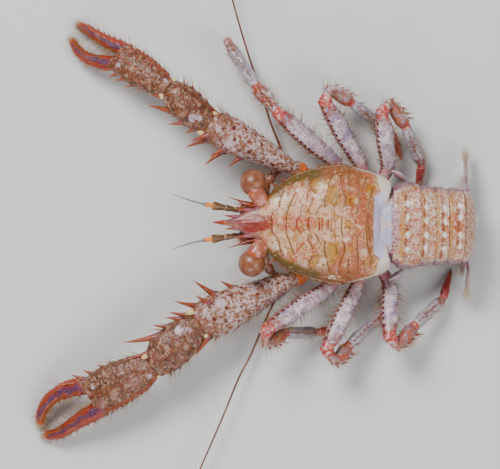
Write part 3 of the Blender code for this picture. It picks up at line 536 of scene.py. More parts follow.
def spine_coats(finish):
    """Dull plum roots, orange-red shafts and whitish tips."""
    finish.coat(SPINE_PLUM, ("spine", 0.0, 0.05), strength=0.8)
    finish.coat(SPINE_RED, ("spine", 0.08, 0.30))
    finish.coat(SPINE_TIP, ("spine", 0.80, 0.98), strength=0.9)


def carapace_finish():
    finish = Finish("carapace_chitin", (218, 184, 158), roughness=(0.28, 0.44), relief=0.008, grain=0.12)
    finish.coat((178, 140, 102), (0.55, 0.46, 0.64, 3))
    finish.coat((174, 116, 94), "tan", (0.7, 0.30, 0.56))
    finish.coat((172, 130, 78), ("ochre", 0.1, 0.9), strength=0.85)
    finish.coat((112, 74, 44), "side", (0.35, 0.20, 0.50), strength=0.9)
    finish.coat((88, 78, 44), ("green", 0, 0.8), (0.5, 0.15, 0.45))
    finish.coat((78, 62, 46), "dim", (0.25, 0.35, 0.55), strength=0.8)
    finish.coat((186, 116, 98), "rosy", (0.45, 0.35, 0.6), strength=0.75)
    finish.coat((150, 76, 54), (0.17, 0.56, 0.70, 2), strength=0.75)
    finish.coat((168, 66, 62), "worms", finish.squiggles(0.26, 0.10), strength=0.7)
    finish.coat((148, 82, 58), "tan", (0.20, 0.50, 0.64, 2), strength=0.7)
    finish.coat((122, 94, 58), (1.4, 0.45, 0.6), (0.28, 0.52, 0.66, 2), strength=0.8)
    finish.coat((144, 62, 48), finish.cells(0.15, 0.33, 0.15), strength=0.75)
    finish.coat((226, 208, 188), finish.cells(0.31, 0.20, 0.10), strength=0.6)
    finish.coat((138, 78, 42), ("small", 0.25, 0.7), strength=0.75)
    finish.coat((122, 76, 44), ("stria", 0.15, 0.70), strength=0.85)
    finish.coat((150, 62, 54), ("rosy", 0.3, 0.9), ("stria", 0.2, 0.6), strength=0.8)
    finish.coat((160, 72, 54), "spark", (0.3, 0.30, 0.5), strength=0.75)
    finish.coat((232, 216, 196), ("pale", 0.10, 1.0), (0.18, 0.36, 0.60), strength=0.8)
    finish.coat((124, 80, 88), "lilac", (0.5, 0.3, 0.7), strength=0.9)
    finish.coat((124, 48, 44), ("red", 0.0, 0.8), (0.35, 0.18, 0.42), strength=0.85)
    finish.coat((176, 74, 44), "tip", strength=0.9)
    finish.coat((218, 206, 196), ("lobe", 0.2, 0.8))
    finish.coat((206, 200, 222), "rear")
    finish.coat((214, 196, 168), ("rim", 0.3, 0.9), strength=0.9)
    finish.coat((110, 44, 32), ("rim", 0.3, 0.9), (0.45, 0.54, 0.62))
    spine_coats(finish)
    shaft = finish.both(finish.value("lilac", 0.5, 1), finish.value("spine", 0.02, 0.05),
                        finish.value("spine", 0.62, 0.45))
    finish.coat((146, 96, 106), shaft, strength=0.9)
    finish.raise_by(finish.noise(0.17, 0.50, 0.70, 2), 0.5)
    return finish.done(soft=0.03, shine=0.32, coat=0.12)


EDGE_SPINES = [  # x on the edge, length, degrees outward from the front and root radius
    (-0.92, 1.06, 3, 0.20), (-0.12, 1.12, 5, 0.24), (0.46, 0.86, 6, 0.20), (0.86, 0.40, 20, 0.12),
    (1.52, 0.48, 28, 0.13), (1.98, 0.30, 34, 0.09), (2.35, 0.22, 36, 0.07), (2.75, 0.30, 38, 0.09),
    (3.30, 0.24, 40, 0.08), (3.75, 0.20, 40, 0.07), (4.25, 0.26, 42, 0.08), (4.85, 0.22, 42, 0.08),
    (5.40, 0.20, 42, 0.07), (5.95, 0.20, 42, 0.07),
]


def carapace():
    draw = random.Random(5)
    shape = Shape()
    shield(shape)
    for side in SIDES.values():
        for x, length, out, radius in EDGE_SPINES:
            edge = carapace_places(vec(x), vec(side))[0] + UP * 0.03
            if x < 1:
                edge = edge - vec(0, side, 0) * radius * 0.35
            turn = math.radians(out + draw.uniform(-4, 4))
            outward = unit(vec(-math.cos(turn), side * math.sin(turn), 0.10))
            add_spine(shape, edge, vec(0, side, 0), outward, length * draw.uniform(0.92, 1.05), radius,
                      lilac=1.0 * (x < 1))
    tip = carapace_places(vec(-2.45), vec(0))[0]
    add_spine(shape, tip - UP * 0.07, vec(-1, 0, 0), vec(-1, 0, 0.02), 0.16, 0.07)
    shape.piece("carapace_shell", carapace_finish(), "carapace_shell", ["carapace"])


carapace()


# The thorax: thin pink chitin below the shield. The flanks hang from it on each side, and
# the breastplate in the middle carries the short first articles of all the legs.
BREAST_WIDTH = 2.55
THORAX_SECTIONS = [  # x, half width of the flank, top z, flank underside z, lowest z
    (0.95, 1.30, 3.75, 3.00, 2.40), (1.25, 1.80, 3.70, 2.75, 2.05), (1.80, 2.40, 3.50, 2.60, 1.55),
    (2.60, 3.00, 3.42, 2.50, 1.30), (3.60, 3.40, 3.40, 2.45, 1.30), (5.73, 3.78, 3.40, 2.45, 1.30),
    (7.30, 3.40, 3.40, 2.45, 1.30), (8.30, 2.80, 3.30, 2.45, 1.40), (8.80, 2.50, 3.05, 2.40, 1.50),
]
LEG_ROOTS = [(3.50, 1.72, 0.50), (5.52, 1.68, 0.46), (6.97, 1.68, 0.46), (8.28, 1.68, 0.44)]


def rounded(loop, steps):
    """A closed smooth loop through the given points."""
    a, b, c, d = (np.roll(loop, 1 - k, axis=0)[:, None] for k in range(4))
    t = (np.arange(steps) / steps)[:, None]
    curve = (2 * b + (c - a) * t + (2 * a - 5 * b + 4 * c - d) * t**2 + (3 * b - a - 3 * c + d) * t**3) / 2
    return curve.reshape(-1, 3)


def add_ball(shape, centre, length_axis, side_axis, other_axis, rings=12, sides=18, **values):
    """A closed egg round a centre, with the given half axes."""
    turn = np.linspace(0, math.pi, rings + 2)[1:-1, None, None]
    spin = (2 * math.pi * np.arange(sides) / sides)[None, :, None]
    ring = np.cos(spin) * side_axis + np.sin(spin) * other_axis
    shape.skin(centre - np.cos(turn) * length_axis + np.sin(turn) * ring, **values)


def thorax():
    shape = Shape()
    rings = []
    for x in np.linspace(THORAX_SECTIONS[0][0], THORAX_SECTIONS[-1][0], 120):
        flank, top, flank_low, low = eased(THORAX_SECTIONS, x)
        wall = min(BREAST_WIDTH, flank - 0.12)
        half = [(flank * 0.6, top), (flank - 0.06, top - 0.10), (flank, (top + flank_low) / 2),
                (flank - 0.08, flank_low), (wall, flank_low - 0.05), (wall, low + 0.25),
                (wall - 0.35, low), (wall * 0.4, low - 0.02)]
        loop = [(x, y, z) for y, z in half] + [(x, -y, z) for y, z in reversed(half)]
        rings.append(rounded(np.array(loop), 8))
    grid = np.array(rings)
    x, y, z = np.moveaxis(grid, -1, 0)
    seams = sum(hill(x, root[0] + 0.75, 0.06) for root in LEG_ROOTS) * ramp(z, 1.9, 1.5)
    grid[..., 2] += 0.12 * seams + 0.02 * lumps(grid, 0.4)
    grid[..., 1] *= 1 - 0.012 * ramp(np.sin(x * 14 + 2 * lumps(grid, 1.0)), 0.2, 0.9)
    shape.skin(grid, seam=seams, low=ramp(z, 2.5, 2.0))
    for side in SIDES.values():
        for x, z, size in LEG_ROOTS:
            add_ball(shape, vec(x, side * 2.58, z), vec(0, 0.42, 0), vec(size, 0, 0), vec(0, 0, size), low=1.0)
    finish = Finish("thorax_chitin", (214, 150, 142), roughness=(0.3, 0.5), relief=0.012, grain=0.15)
    finish.coat((228, 190, 178), (0.6, 0.45, 0.65))
    finish.coat((172, 52, 60), finish.cells(0.16, 0.30, 0.14))
    finish.coat((220, 186, 172), "low", strength=0.6)
    finish.coat((168, 96, 84), ("seam", 0.2, 0.9), strength=0.7)
    shape.piece("thorax_shell", finish.done(soft=0.1, coat=0.2), "under_shell", ["thorax"])


thorax()


# The abdomen: five arched plates of chitin like roof tiles, each of which reaches a little
# way under the one before it and hangs down as a rounded lobe on both sides. Rows of
# small red-brown beads that carry hairs run across them.
SOMITES = [  # number, front x, rear x, front and rear half width, top z, lobe z
    (1, 8.32, 9.36, 1.56, 2.36, 4.92, 3.40), (2, 9.36, 10.72, 2.80, 2.88, 5.04, 2.96),
    (3, 10.78, 11.66, 2.62, 2.66, 5.08, 2.90), (4, 11.72, 12.52, 2.54, 2.57, 5.04, 2.90),
    (5, 12.60, 13.56, 2.50, 2.50, 4.94, 2.94),
]
SOMITE_LEAN = 0.22
SOMITE_WAIST = 4.0
TUCK = 0.34
TUCK_DEPTH = 0.24
BEAD_STEP = 0.20
SPOT_ROWS = {  # x of the row, then y of the white spots and y of the brown dashes
    2: (9.79, (1.41, -0.62, -1.60, 0.62), (1.72, 0.98, -0.15, -1.09, -1.98)),
    3: (10.96, (1.21, 0.32, -0.62, -1.48), (1.60, 0.82, -0.07, -1.01, -1.79)),
    4: (12.17, (1.10, 0.24, -0.58, -1.48), (1.72, 0.67, -0.07, -1.01, -1.85)),
    5: (13.20, (1.33, 0.55, -0.58, -1.30), (0.95, 0.00, -0.95)),
}
TERGITES = {}  # the points of each plate's back, on which the setae stand later
TERGITE_GRID = (64, 190, 40)  # rows along, columns across the back, and columns underneath


def tergite(number, front, rear, front_width, rear_width, top, low):
    rows, columns, under = TERGITE_GRID
    run = np.linspace(0, 1, rows)
    x = front - TUCK + (rear - front + TUCK) * run
    share = (x - front) / (rear - front)
    tucked = ramp(share, 0.06, -TUCK / (rear - front))
    middle = 1 - np.abs(2 * np.clip(share, 0, 1) - 1) ** 3
    width = front_width + (rear_width - front_width) * np.clip(share, 0, 1)
    width = width * (0.93 + 0.07 * middle) - 0.16 * tucked
    crown = top - TUCK_DEPTH * tucked - 0.05 * ramp(share, 0.93, 1.0)
    crown += 0.05 * ramp(share, 0.50, 0.58) - 0.05 * ramp(share, 0.36, 0.44)
    foot = low + 0.55 * (1 - middle) + 0.2 * tucked
    across = np.linspace(-math.pi / 2, math.pi / 2, columns)
    spread = np.sign(across) * np.abs(np.sin(across)) ** 0.85
    lift = np.maximum(0, np.cos(across)) ** 0.62
    back = np.stack([np.broadcast_to(x[:, None], (rows, columns)), width[:, None] * spread,
                     foot[:, None] + (crown - foot)[:, None] * lift], -1)
    beads = knobs(back * vec(1, 0.75, 1), BEAD_STEP)
    beads = beads * ramp(np.abs(back[..., 1]), width[:, None], width[:, None] * 0.86)
    bare = (1 - tucked[:, None]) * ramp(share, 1.0, 0.94)[:, None]
    back[..., 2] += bare * (0.035 * beads + 0.02 * lumps(back, 0.5))
    white, brown = np.zeros(beads.shape), np.zeros(beads.shape)
    if number in SPOT_ROWS:
        row_x, whites, browns = SPOT_ROWS[number]
        for y in whites:
            white = np.maximum(white, hill(back[..., 0], row_x + 0.04, 0.20) * hill(back[..., 1], y, 0.28))
        for y in browns:
            brown = np.maximum(brown, hill(back[..., 0], row_x - 0.10, 0.11) * hill(back[..., 1], y, 0.30))
    TERGITES[number] = back
    inside = np.linspace(1, -1, under + 2)[1:-1]
    hollow = ramp(np.abs(inside), 0.86, 0.62)
    below = np.stack([np.broadcast_to(x[:, None], (rows, under)), width[:, None] * 0.94 * inside,
                      foot[:, None] + (crown - foot)[:, None] * 0.32 * hollow], -1)
    grid = np.concatenate([back, below], axis=1)
    grid[..., 0] += SOMITE_LEAN * (grid[..., 2] - SOMITE_WAIST)
    side = ramp(np.abs(back[..., 1]) / width[:, None], 0.84, 0.97)
    values = {"bead": beads * bare, "white": white, "brown": brown, "side": side,
              "seam": np.broadcast_to(hill(share, 0.07, 0.10)[:, None], beads.shape) * (number > 1)
                      * ramp(np.abs(back[..., 1]), 2.3, 1.9),
              "centre": spot(back, 12.75, 0.0, 0.75, 0.9) * (number > 2),
              "blue": float(number == 1) * spot(back, 8.55, 0.80, 0.42, 0.60, 0.0),
              "dots": float(number == 1) * ramp(back[..., 0] + 0.1 * lumps(back, 0.5), 8.75, 8.9),
              "first": np.full(beads.shape, float(number == 1)) * ramp(x[:, None], 9.35, 9.1)}
    full = {key: np.concatenate([value, np.broadcast_to(value[:, -1:], (rows, under))], axis=1)
            for key, value in values.items()}
    return grid, full


def abdomen_finish():
    finish = Finish("abdomen_chitin", (206, 178, 162), roughness=(0.26, 0.46), relief=0.010, grain=0.10)
    finish.coat((186, 140, 112), (0.45, 0.42, 0.66, 3))
    finish.coat((214, 202, 194), (0.35, 0.52, 0.66, 2), strength=0.8)
    finish.coat((158, 88, 46), (0.15, 0.51, 0.60, 2), (1.2, 0.30, 0.55), strength=0.9)
    finish.coat((166, 88, 42), "centre", (0.16, 0.42, 0.52, 2), strength=0.9)
    finish.coat((138, 128, 140), "side", strength=0.8)
    finish.coat((128, 66, 82), ("side", 0.2, 0.8), (0.25, 0.46, 0.6, 2), strength=0.8)
    finish.coat((216, 206, 214), "first", strength=0.9)
    finish.coat((192, 194, 214), "blue")
    finish.coat((140, 58, 46), finish.cells(0.14, 0.36, 0.16), strength=0.85)
    finish.coat((186, 146, 152), "dots", strength=0.7)
    finish.coat((126, 46, 58), "dots", (0.12, 0.50, 0.60, 2), strength=0.9)
    finish.coat((226, 216, 210), ("bead", 0.4, 0.9), (0.4, 0.44, 0.58), strength=0.65)
    finish.coat((176, 134, 80), ("seam", 0.2, 0.8), strength=0.8)
    finish.coat((240, 232, 224), ("white", 0.40, 0.80), (0.16, 0.28, 0.48))
    finish.coat((132, 68, 32), ("brown", 0.15, 0.55), (0.18, 0.34, 0.52), strength=0.9)
    spine_coats(finish)
    return finish.done(soft=0.08, coat=0.25)


ABDOMEN_FINISH = abdomen_finish()


def abdomen():
    for somite in SOMITES:
        shape = Shape()
        grid, values = tergite(*somite)
        shape.skin(grid, **values)
        number = somite[0]
        shape.piece("tergite_%d" % number, ABDOMEN_FINISH, "abdomen_shell", ["abdomen_somite_%d" % number])


abdomen()


# The last somite and the tail fan: the last arched plate bends the tail down, and five
# thin plates hang from it: the telson in the middle and two pairs of uropod blades.
BEND = (13.53, 2.98)
BEND_WIDTH = 2.45
FAN_TOP = 2.90
BLADE = 0.13
TAIL_BLADES = []  # the limbs of the tail's plates, on which the fringe stands later
OUTER_BLADES = {"right": (13.80, 4.22), "left": (14.02, 4.00)}  # x and y of each outer blade's end


def smooth_line(points, steps=12):
    """Close-set points on a smooth curve through the given points."""
    knots = np.array([2 * points[0] - points[1], *points, 2 * points[-1] - points[-2]])
    t = np.linspace(0, 1, steps, endpoint=False)[:, None]
    line = [(2 * b + (c - a) * t + (2 * a - 5 * b + 4 * c - d) * t**2 + (3 * b - a - 3 * c + d) * t**3) / 2
            for a, b, c, d in zip(knots, knots[1:], knots[2:], knots[3:])]
    return np.concatenate(line + [knots[-2:-1]])


def plain(place, share, turn):
    return 0.02 * lumps(place, 0.4), {}


class Limb:
    """A limb piece: oval sections set along a smooth line, on which spines can stand.

    Turns are counted round it from its front side, over the top, to its rear side.
    """

    def __init__(self, points, profile, side, across=None, start_face=None, end_face=None):
        self.line = smooth_line(points)
        self.profile = profile
        self.side = side
        self.folded = across is not None
        self.across = across if self.folded else unit(np.cross(UP, points[-1] - points[0])) * side
        self.faces = (start_face, end_face)
        steps = np.linalg.norm(np.diff(self.line, axis=0), axis=1)
        self.reach = np.concatenate([[0], np.cumsum(steps)])
        self.length = self.reach[-1]

    def point(self, share):
        target = np.clip(share, 0, 1) * self.length
        return np.stack([np.interp(target, self.reach, self.line[:, axis]) for axis in range(3)], -1)

    def frame(self, share):
        heading = unit(self.point(share + 0.02) - self.point(share - 0.02))
        across = unit(self.across - heading * (heading @ self.across)[..., None])
        up = np.cross(heading, across) * (1 if self.folded else self.side)
        return self.point(share), heading, across, up

    def surface(self, share, turn):
        centre, heading, across, up = self.frame(share)
        wide, high = np.moveaxis(eased(self.profile, share)[..., None], -2, 0)
        c, s = np.cos(turn)[..., None], np.sin(turn)[..., None]
        normal = unit(across * (c / wide) + up * (s / high))
        return centre + across * (wide * c) + up * (high * s), normal, heading

    def skin(self, shape, rings, sides, relief=plain, domes=(0.12, 0.12)):
        """Adds the skin; relief gives the height of each place and its named values."""
        spins = 2 * math.pi * np.arange(sides) / sides
        share, turn = np.meshgrid(np.linspace(0, 1, rings), spins, indexing="ij")
        place, normal, heading = self.surface(share, turn)
        height, values = relief(place, share, turn)
        place = place + normal * height[..., None]
        centre = self.point(share)
        ends = []
        for end, face, row in ((0, self.faces[0], 1), (1, self.faces[1], -2)):
            ahead = heading[-end, 0]
            if face is None:
                face = ahead
            face = face * np.sign(ahead @ face)
            fade = np.clip(1 - np.abs(share - end) / abs(self.profile[row][0] - end), 0, 1)
            slant = ((place - centre) @ face) / (heading @ face) * fade
            place = place - heading * slant[..., None]
            ends.append(face if end else -face)
        parts = [place]
        for end, face, dome in ((0, ends[0], domes[0]), (-1, ends[1], domes[1])):
            middle = self.point(vec(0 if end == 0 else 1))[0]
            caps = np.array([middle + (parts[0 if end == 0 else -1][end] - middle) * math.cos(t)
                             + face * dome * math.sin(t) for t in (0.5, 0.9, 1.2, 1.45)])
            parts.insert(0, caps[::-1]) if end == 0 else parts.append(caps)
        grid = np.concatenate(parts)
        values = {"along": share, "front": np.cos(turn), "top": np.sin(turn), **values}
        padded = {key: np.concatenate([np.repeat(value[:1], 4, axis=0), value, np.repeat(value[-1:], 4, axis=0)])
                  for key, value in values.items()}
        padded["cap"] = np.zeros(grid.shape[:2])
        padded["cap"][:4] = padded["cap"][-4:] = 1
        shape.skin(grid, **padded)


def add_spine_row(shape, limb, turn, first, last, count, short, long, lean, radius, draw):
    """Spines along a limb at one turn round it, which lean to its far end."""
    for i in range(count):
        step = i / max(1, count - 1)
        share = first + (last - first) * step + draw.uniform(-0.012, 0.012)
        place, normal, heading = limb.surface(vec(share), np.radians(vec(turn + draw.uniform(-7, 7))))
        tilt = math.radians(lean + draw.uniform(-5, 5))
        outward = unit(normal[0] * math.cos(tilt) + heading[0] * math.sin(tilt))
        length = (short + (long - short) * step) * draw.uniform(0.85, 1.12)
        size = radius * (0.7 + 0.3 * length / max(short, long))
        add_spine(shape, place[0], normal[0], outward, length, size, heading[0])


def blade(place, share, turn):
    edge = np.abs(np.sin(turn))
    ribs = 0.02 * np.sin(share * 9 + 2 * lumps(place, 0.8)) * (1 - edge)
    return ribs, {"edge": ramp(edge, 0.8, 1.0)}


def tail():
    finish = Finish("tail_chitin", (170, 140, 164), roughness=(0.30, 0.50), relief=0.010, grain=0.12)
    finish.coat((206, 190, 206), (0.5, 0.42, 0.62))
    finish.coat((136, 60, 84), finish.cells(0.17, 0.26, 0.12), strength=0.7)
    finish.coat((176, 106, 84), "edge", strength=0.5)
    finish.coat((180, 110, 90), ("along", 0.88, 1.0), strength=0.8)
    spine_coats(finish)
    tail_finish = finish.done(soft=0.12, coat=0.2)

    rows, columns = 60, 120
    share = np.linspace(0, 1, rows)[:, None]
    first_turn = math.atan(SOMITE_LEAN) - 0.16
    turn = first_turn + (math.radians(90) - first_turn) * share
    tucked = ramp(share, 0.10, 0.0)
    outer = 1.92 + (0.78 - 1.92) * np.maximum(0, share) ** 0.68 - 0.2 * tucked
    width = BEND_WIDTH - 0.25 * share - 0.12 * tucked
    across = np.linspace(-math.pi / 2, math.pi / 2, columns)[None]
    reach = 0.06 + (outer - 0.06) * np.maximum(0, np.cos(across)) ** 0.6
    bx, bz = BEND
    y = width * np.sin(across)
    beads = knobs(np.stack([turn * 1.6 + 0 * y, y * 0.75, 0 * y + 0 * turn], -1), BEAD_STEP) * (1 - tucked)
    reach = reach + 0.03 * beads * ramp(np.abs(y), 2.3, 2.0)
    back = np.stack([bx + np.sin(turn) * reach, y, bz + np.cos(turn) * reach], -1)
    inside = np.linspace(1, -1, 22)[None, 1:-1]
    low = np.stack([bx + 0.02 * np.sin(turn) + 0 * inside, width * inside, bz + 0.02 * np.cos(turn) + 0 * inside],
                   -1)
    shape = Shape()
    empty = np.zeros((rows, 20))
    side = ramp(np.abs(np.sin(across)), 0.90, 0.99) + 0 * share
    shape.skin(np.concatenate([back, low], axis=1), bead=np.concatenate([beads, empty], axis=1),
               side=np.concatenate([side, empty + 1], axis=1))
    shape.piece("tergite_6", ABDOMEN_FINISH, "abdomen_shell", ["abdomen_somite_6"])

    forward = vec(1, 0, 0)
    shape = Shape()
    telson = Limb([vec(14.02, 0, FAN_TOP), vec(13.95, 0, 1.7), vec(13.80, 0, 0.62)],
                  [(0, BLADE, 0.86), (0.2, BLADE, 1.05), (0.55, BLADE, 1.08), (0.85, BLADE, 0.92),
                   (1, 0.08, 0.62)],
                  1, across=forward)
    telson.skin(shape, 50, 60, blade)
    TAIL_BLADES.append(telson)
    shape.piece("telson_plate", tail_finish, "tail_fan", ["telson"])
    for name, side in SIDES.items():
        shape = Shape()
        stem = Limb([vec(14.05, side * 1.62, FAN_TOP), vec(14.0, side * 1.80, 2.25),
                     vec(13.95, side * 2.20, 1.88)],
                    [(0, 0.24, 0.34), (0.5, 0.28, 0.40), (1, 0.26, 0.34)], 1, across=forward)
        blade_x, blade_reach = OUTER_BLADES[name]
        outer_blade = Limb([vec(13.99, side * 1.84, 2.02), vec(blade_x + 0.06, side * 3.0, 1.9),
                            vec(blade_x, side * blade_reach, 1.45)],
                           [(0, BLADE, 0.30), (0.35, BLADE, 0.66), (0.75, BLADE, 0.74), (0.93, 0.11, 0.5),
                            (1, 0.07, 0.2)], 1, across=forward)
        inner_blade = Limb([vec(13.91, side * 1.97, 2.12), vec(13.80, side * 2.27, 1.4),
                            vec(13.70, side * 2.62, 0.6)],
                           [(0, BLADE, 0.3), (0.3, BLADE, 0.5), (0.7, BLADE, 0.62), (0.92, 0.11, 0.42),
                            (1, 0.07, 0.2)], 1, across=forward)
        stem.skin(shape, 30, 36)
        outer_blade.skin(shape, 50, 48, blade)
        inner_blade.skin(shape, 40, 48, blade)
        TAIL_BLADES.extend([outer_blade, inner_blade])
        shape.piece("uropod_plates_" + name, tail_finish, "tail_fan", ["uropod_" + name])


tail()


# The eyes: a copper-brown cornea of tiny facets like a ball, held by a short pink stalk of chitin
# whose rounded lobe covers the ball's inner half from above.
EYE_RADIUS = 0.88


def eyes():
    finish = Finish("eye_ball_and_stalk", (122, 78, 60), roughness=(0.34, 0.46), relief=0.004, grain=0.06)
    finish.coat((146, 98, 76), (0.35, 0.35, 0.7))
    finish.coat((166, 116, 92), finish.cells(0.10, 0.34, 0.16), strength=0.4)
    finish.coat((84, 42, 30), finish.cells(0.13, 0.26, 0.12), strength=0.7)
    stalk = finish.value("stalk", 0.4, 0.6)
    finish.coat((150, 94, 78), stalk)
    finish.coat((184, 124, 106), stalk, (0.5, 0.46, 0.64))
    # Pale pinkish-white patches on the stalk: painted highlights.
    finish.coat((206, 172, 168), stalk, (0.4, 0.55, 0.75), strength=0.7)
    finish.coat((134, 54, 42), stalk, finish.cells(0.16, 0.26, 0.12), strength=0.8)
    finish.coat((190, 92, 34), ("rim", 0.2, 0.8), strength=0.85)
    finish = finish.done(soft=0.05, coat=0.25)
    for name, side in SIDES.items():
        root = vec(0.20, side * 1.66, 4.28)
        cornea = vec(-0.04, side * 2.62, 4.22)
        inward = unit(root - cornea)
        shape = Shape()
        spin, lift = np.meshgrid(np.linspace(0, 2 * math.pi, 97)[:-1], np.linspace(0, math.pi, 66)[1:-1],
                                 indexing="xy")
        third = np.cross(inward, UP)
        second = unit(UP - inward * (inward @ UP))
        out = (-np.cos(lift)[..., None] * inward + np.sin(lift)[..., None]
               * (np.cos(spin)[..., None] * second + np.sin(spin)[..., None] * third))
        shape.skin(cornea + out * EYE_RADIUS)
        stalk = Limb([vec(0.95, side * 0.92, 4.10), vec(0.42, side * 1.62, 4.42), vec(-0.10, side * 2.34, 4.60)],
                     [(0, 0.42, 0.36), (0.4, 0.52, 0.46), (0.72, 0.55, 0.50), (0.86, 0.50, 0.44),
                      (0.95, 0.34, 0.30), (1, 0.14, 0.12)], side)
        stalk.skin(shape, 60, 60, lambda place, share, turn: (
            0.02 * lumps(place, 0.3), {"stalk": share * 0 + 1,
                                       "rim": hill(share + 0.05 * lumps(place, 0.3), 0.90, 0.06)}))
        shape.piece("eye_and_stalk_" + name, finish, "eye", ["eye_" + name])


eyes()


# The antennules: slender jointed feelers beside the rostrum. The long last article is
# olive-brown with a bright orange band at its end, and a thin grey lash follows it.
def antennules():
    finish = Finish("antennule_chitin", (96, 70, 48), roughness=(0.3, 0.5), relief=0.008, grain=0.1)
    finish.coat((92, 50, 58), ("along", 0.36, 0.28))
    finish.coat((140, 108, 80), (0.3, 0.45, 0.6), strength=0.6)
    finish.coat((196, 160, 150), ("joint", 0.3, 0.9), strength=0.7)
    finish.coat((228, 142, 0), ("along", 0.585, 0.605), ("along", 0.68, 0.65))
    finish.coat((116, 118, 124), ("along", 0.66, 0.70))
    spine_coats(finish)
    finish = finish.done(coat=0.2)
    for name, side in SIDES.items():
        line = [vec(0.93, side * 0.62, 3.02), vec(0.0, side * 0.78, 3.30), vec(-1.12, side * 0.86, 3.55),
                vec(-2.20, side * 1.02, 3.85), vec(-3.00, side * 1.14, 3.98), vec(-3.90, side * 1.34, 4.05),
                vec(-5.10, side * 1.74, 4.15)]
        rows = [(0, 0.36, 0.34), (0.12, 0.42, 0.40), (0.26, 0.36, 0.34), (0.32, 0.20, 0.20), (0.36, 0.17, 0.17),
                (0.455, 0.21, 0.20), (0.47, 0.20, 0.19), (0.56, 0.27, 0.24), (0.588, 0.27, 0.24),
                (0.60, 0.18, 0.17),
                (0.65, 0.15, 0.14), (0.69, 0.09, 0.09), (0.85, 0.05, 0.05), (1, 0.02, 0.02)]
        stalk = Limb(line, rows, side)

        def joints(place, share, turn):
            notch = hill(share, 0.31, 0.010) + hill(share, 0.46, 0.008) + hill(share, 0.15, 0.01)
            lash = ramp(share, 0.68, 0.70) * 0.012 * np.sin(share * 260)
            return -0.04 * notch + lash, {"joint": notch}

        shape = Shape()
        stalk.skin(shape, 160, 20, joints)
        draw = random.Random(3)
        add_spine_row(shape, stalk, 10, 0.10, 0.26, 2, 0.5, 0.6, 62, 0.11, draw)
        add_spine_row(shape, stalk, 90, 0.08, 0.24, 2, 0.35, 0.4, 62, 0.09, draw)
        add_spine_row(shape, stalk, 175, 0.12, 0.26, 2, 0.45, 0.5, 60, 0.10, draw)
        add_spine(shape, vec(0.25, side * 1.26, 3.88), vec(0, side, 0), unit(vec(-2.2, side * 0.50, 0.2)), 2.2,
                  0.13)
        add_spine(shape, vec(0.3, side * 1.05, 3.90), vec(0, side, 0), unit(vec(-1.8, side * 0.28, 0.2)), 1.75,
                  0.11)
        shape.piece("antennule_stalk_" + name, finish, "feeler", ["antennule_" + name])


antennules()


# The antennae: a spiny stalk of short articles beside each eye, and a very long thin whip
# of many small brown rings that runs out and back between the claws and legs.
WHIPS = {
    "right": [(1.86, 3.78, 1.04), (1.74, 4.84, 0.94), (1.00, 6.71, 0.96), (0.40, 8.60, 1.05),
              (-0.36, 10.66, 1.10), (-1.25, 13.44, 1.15), (-2.08, 16.42, 1.20), (-2.80, 19.10, 1.30),
              (-3.46, 21.60, 1.45)],
    "left": [(1.84, -3.80, 1.04), (1.66, -4.70, 0.90), (1.07, -5.96, 0.94), (0.00, -8.58, 1.05),
             (-0.75, -10.09, 1.10), (-1.80, -12.75, 1.15), (-2.91, -15.42, 1.20), (-4.30, -18.70, 1.30),
             (-5.70, -22.00, 1.45)],
}
WHIP_JOINT = 4
WHIP_STEP = 0.045


def add_tube(shape, line, size, sides, **values):
    """A round closed tube along a line, with a radius for each of its points."""
    heading = unit(np.gradient(line, axis=0))
    side = unit(np.cross(heading, UP + vec(0.01, 0.02, 0)))[:, None]
    other = np.cross(side, heading[:, None])
    spin = (2 * math.pi * np.arange(sides) / sides)[None, :, None]
    shape.skin(line[:, None] + size[:, None, None] * (np.cos(spin) * side + np.sin(spin) * other), **values)


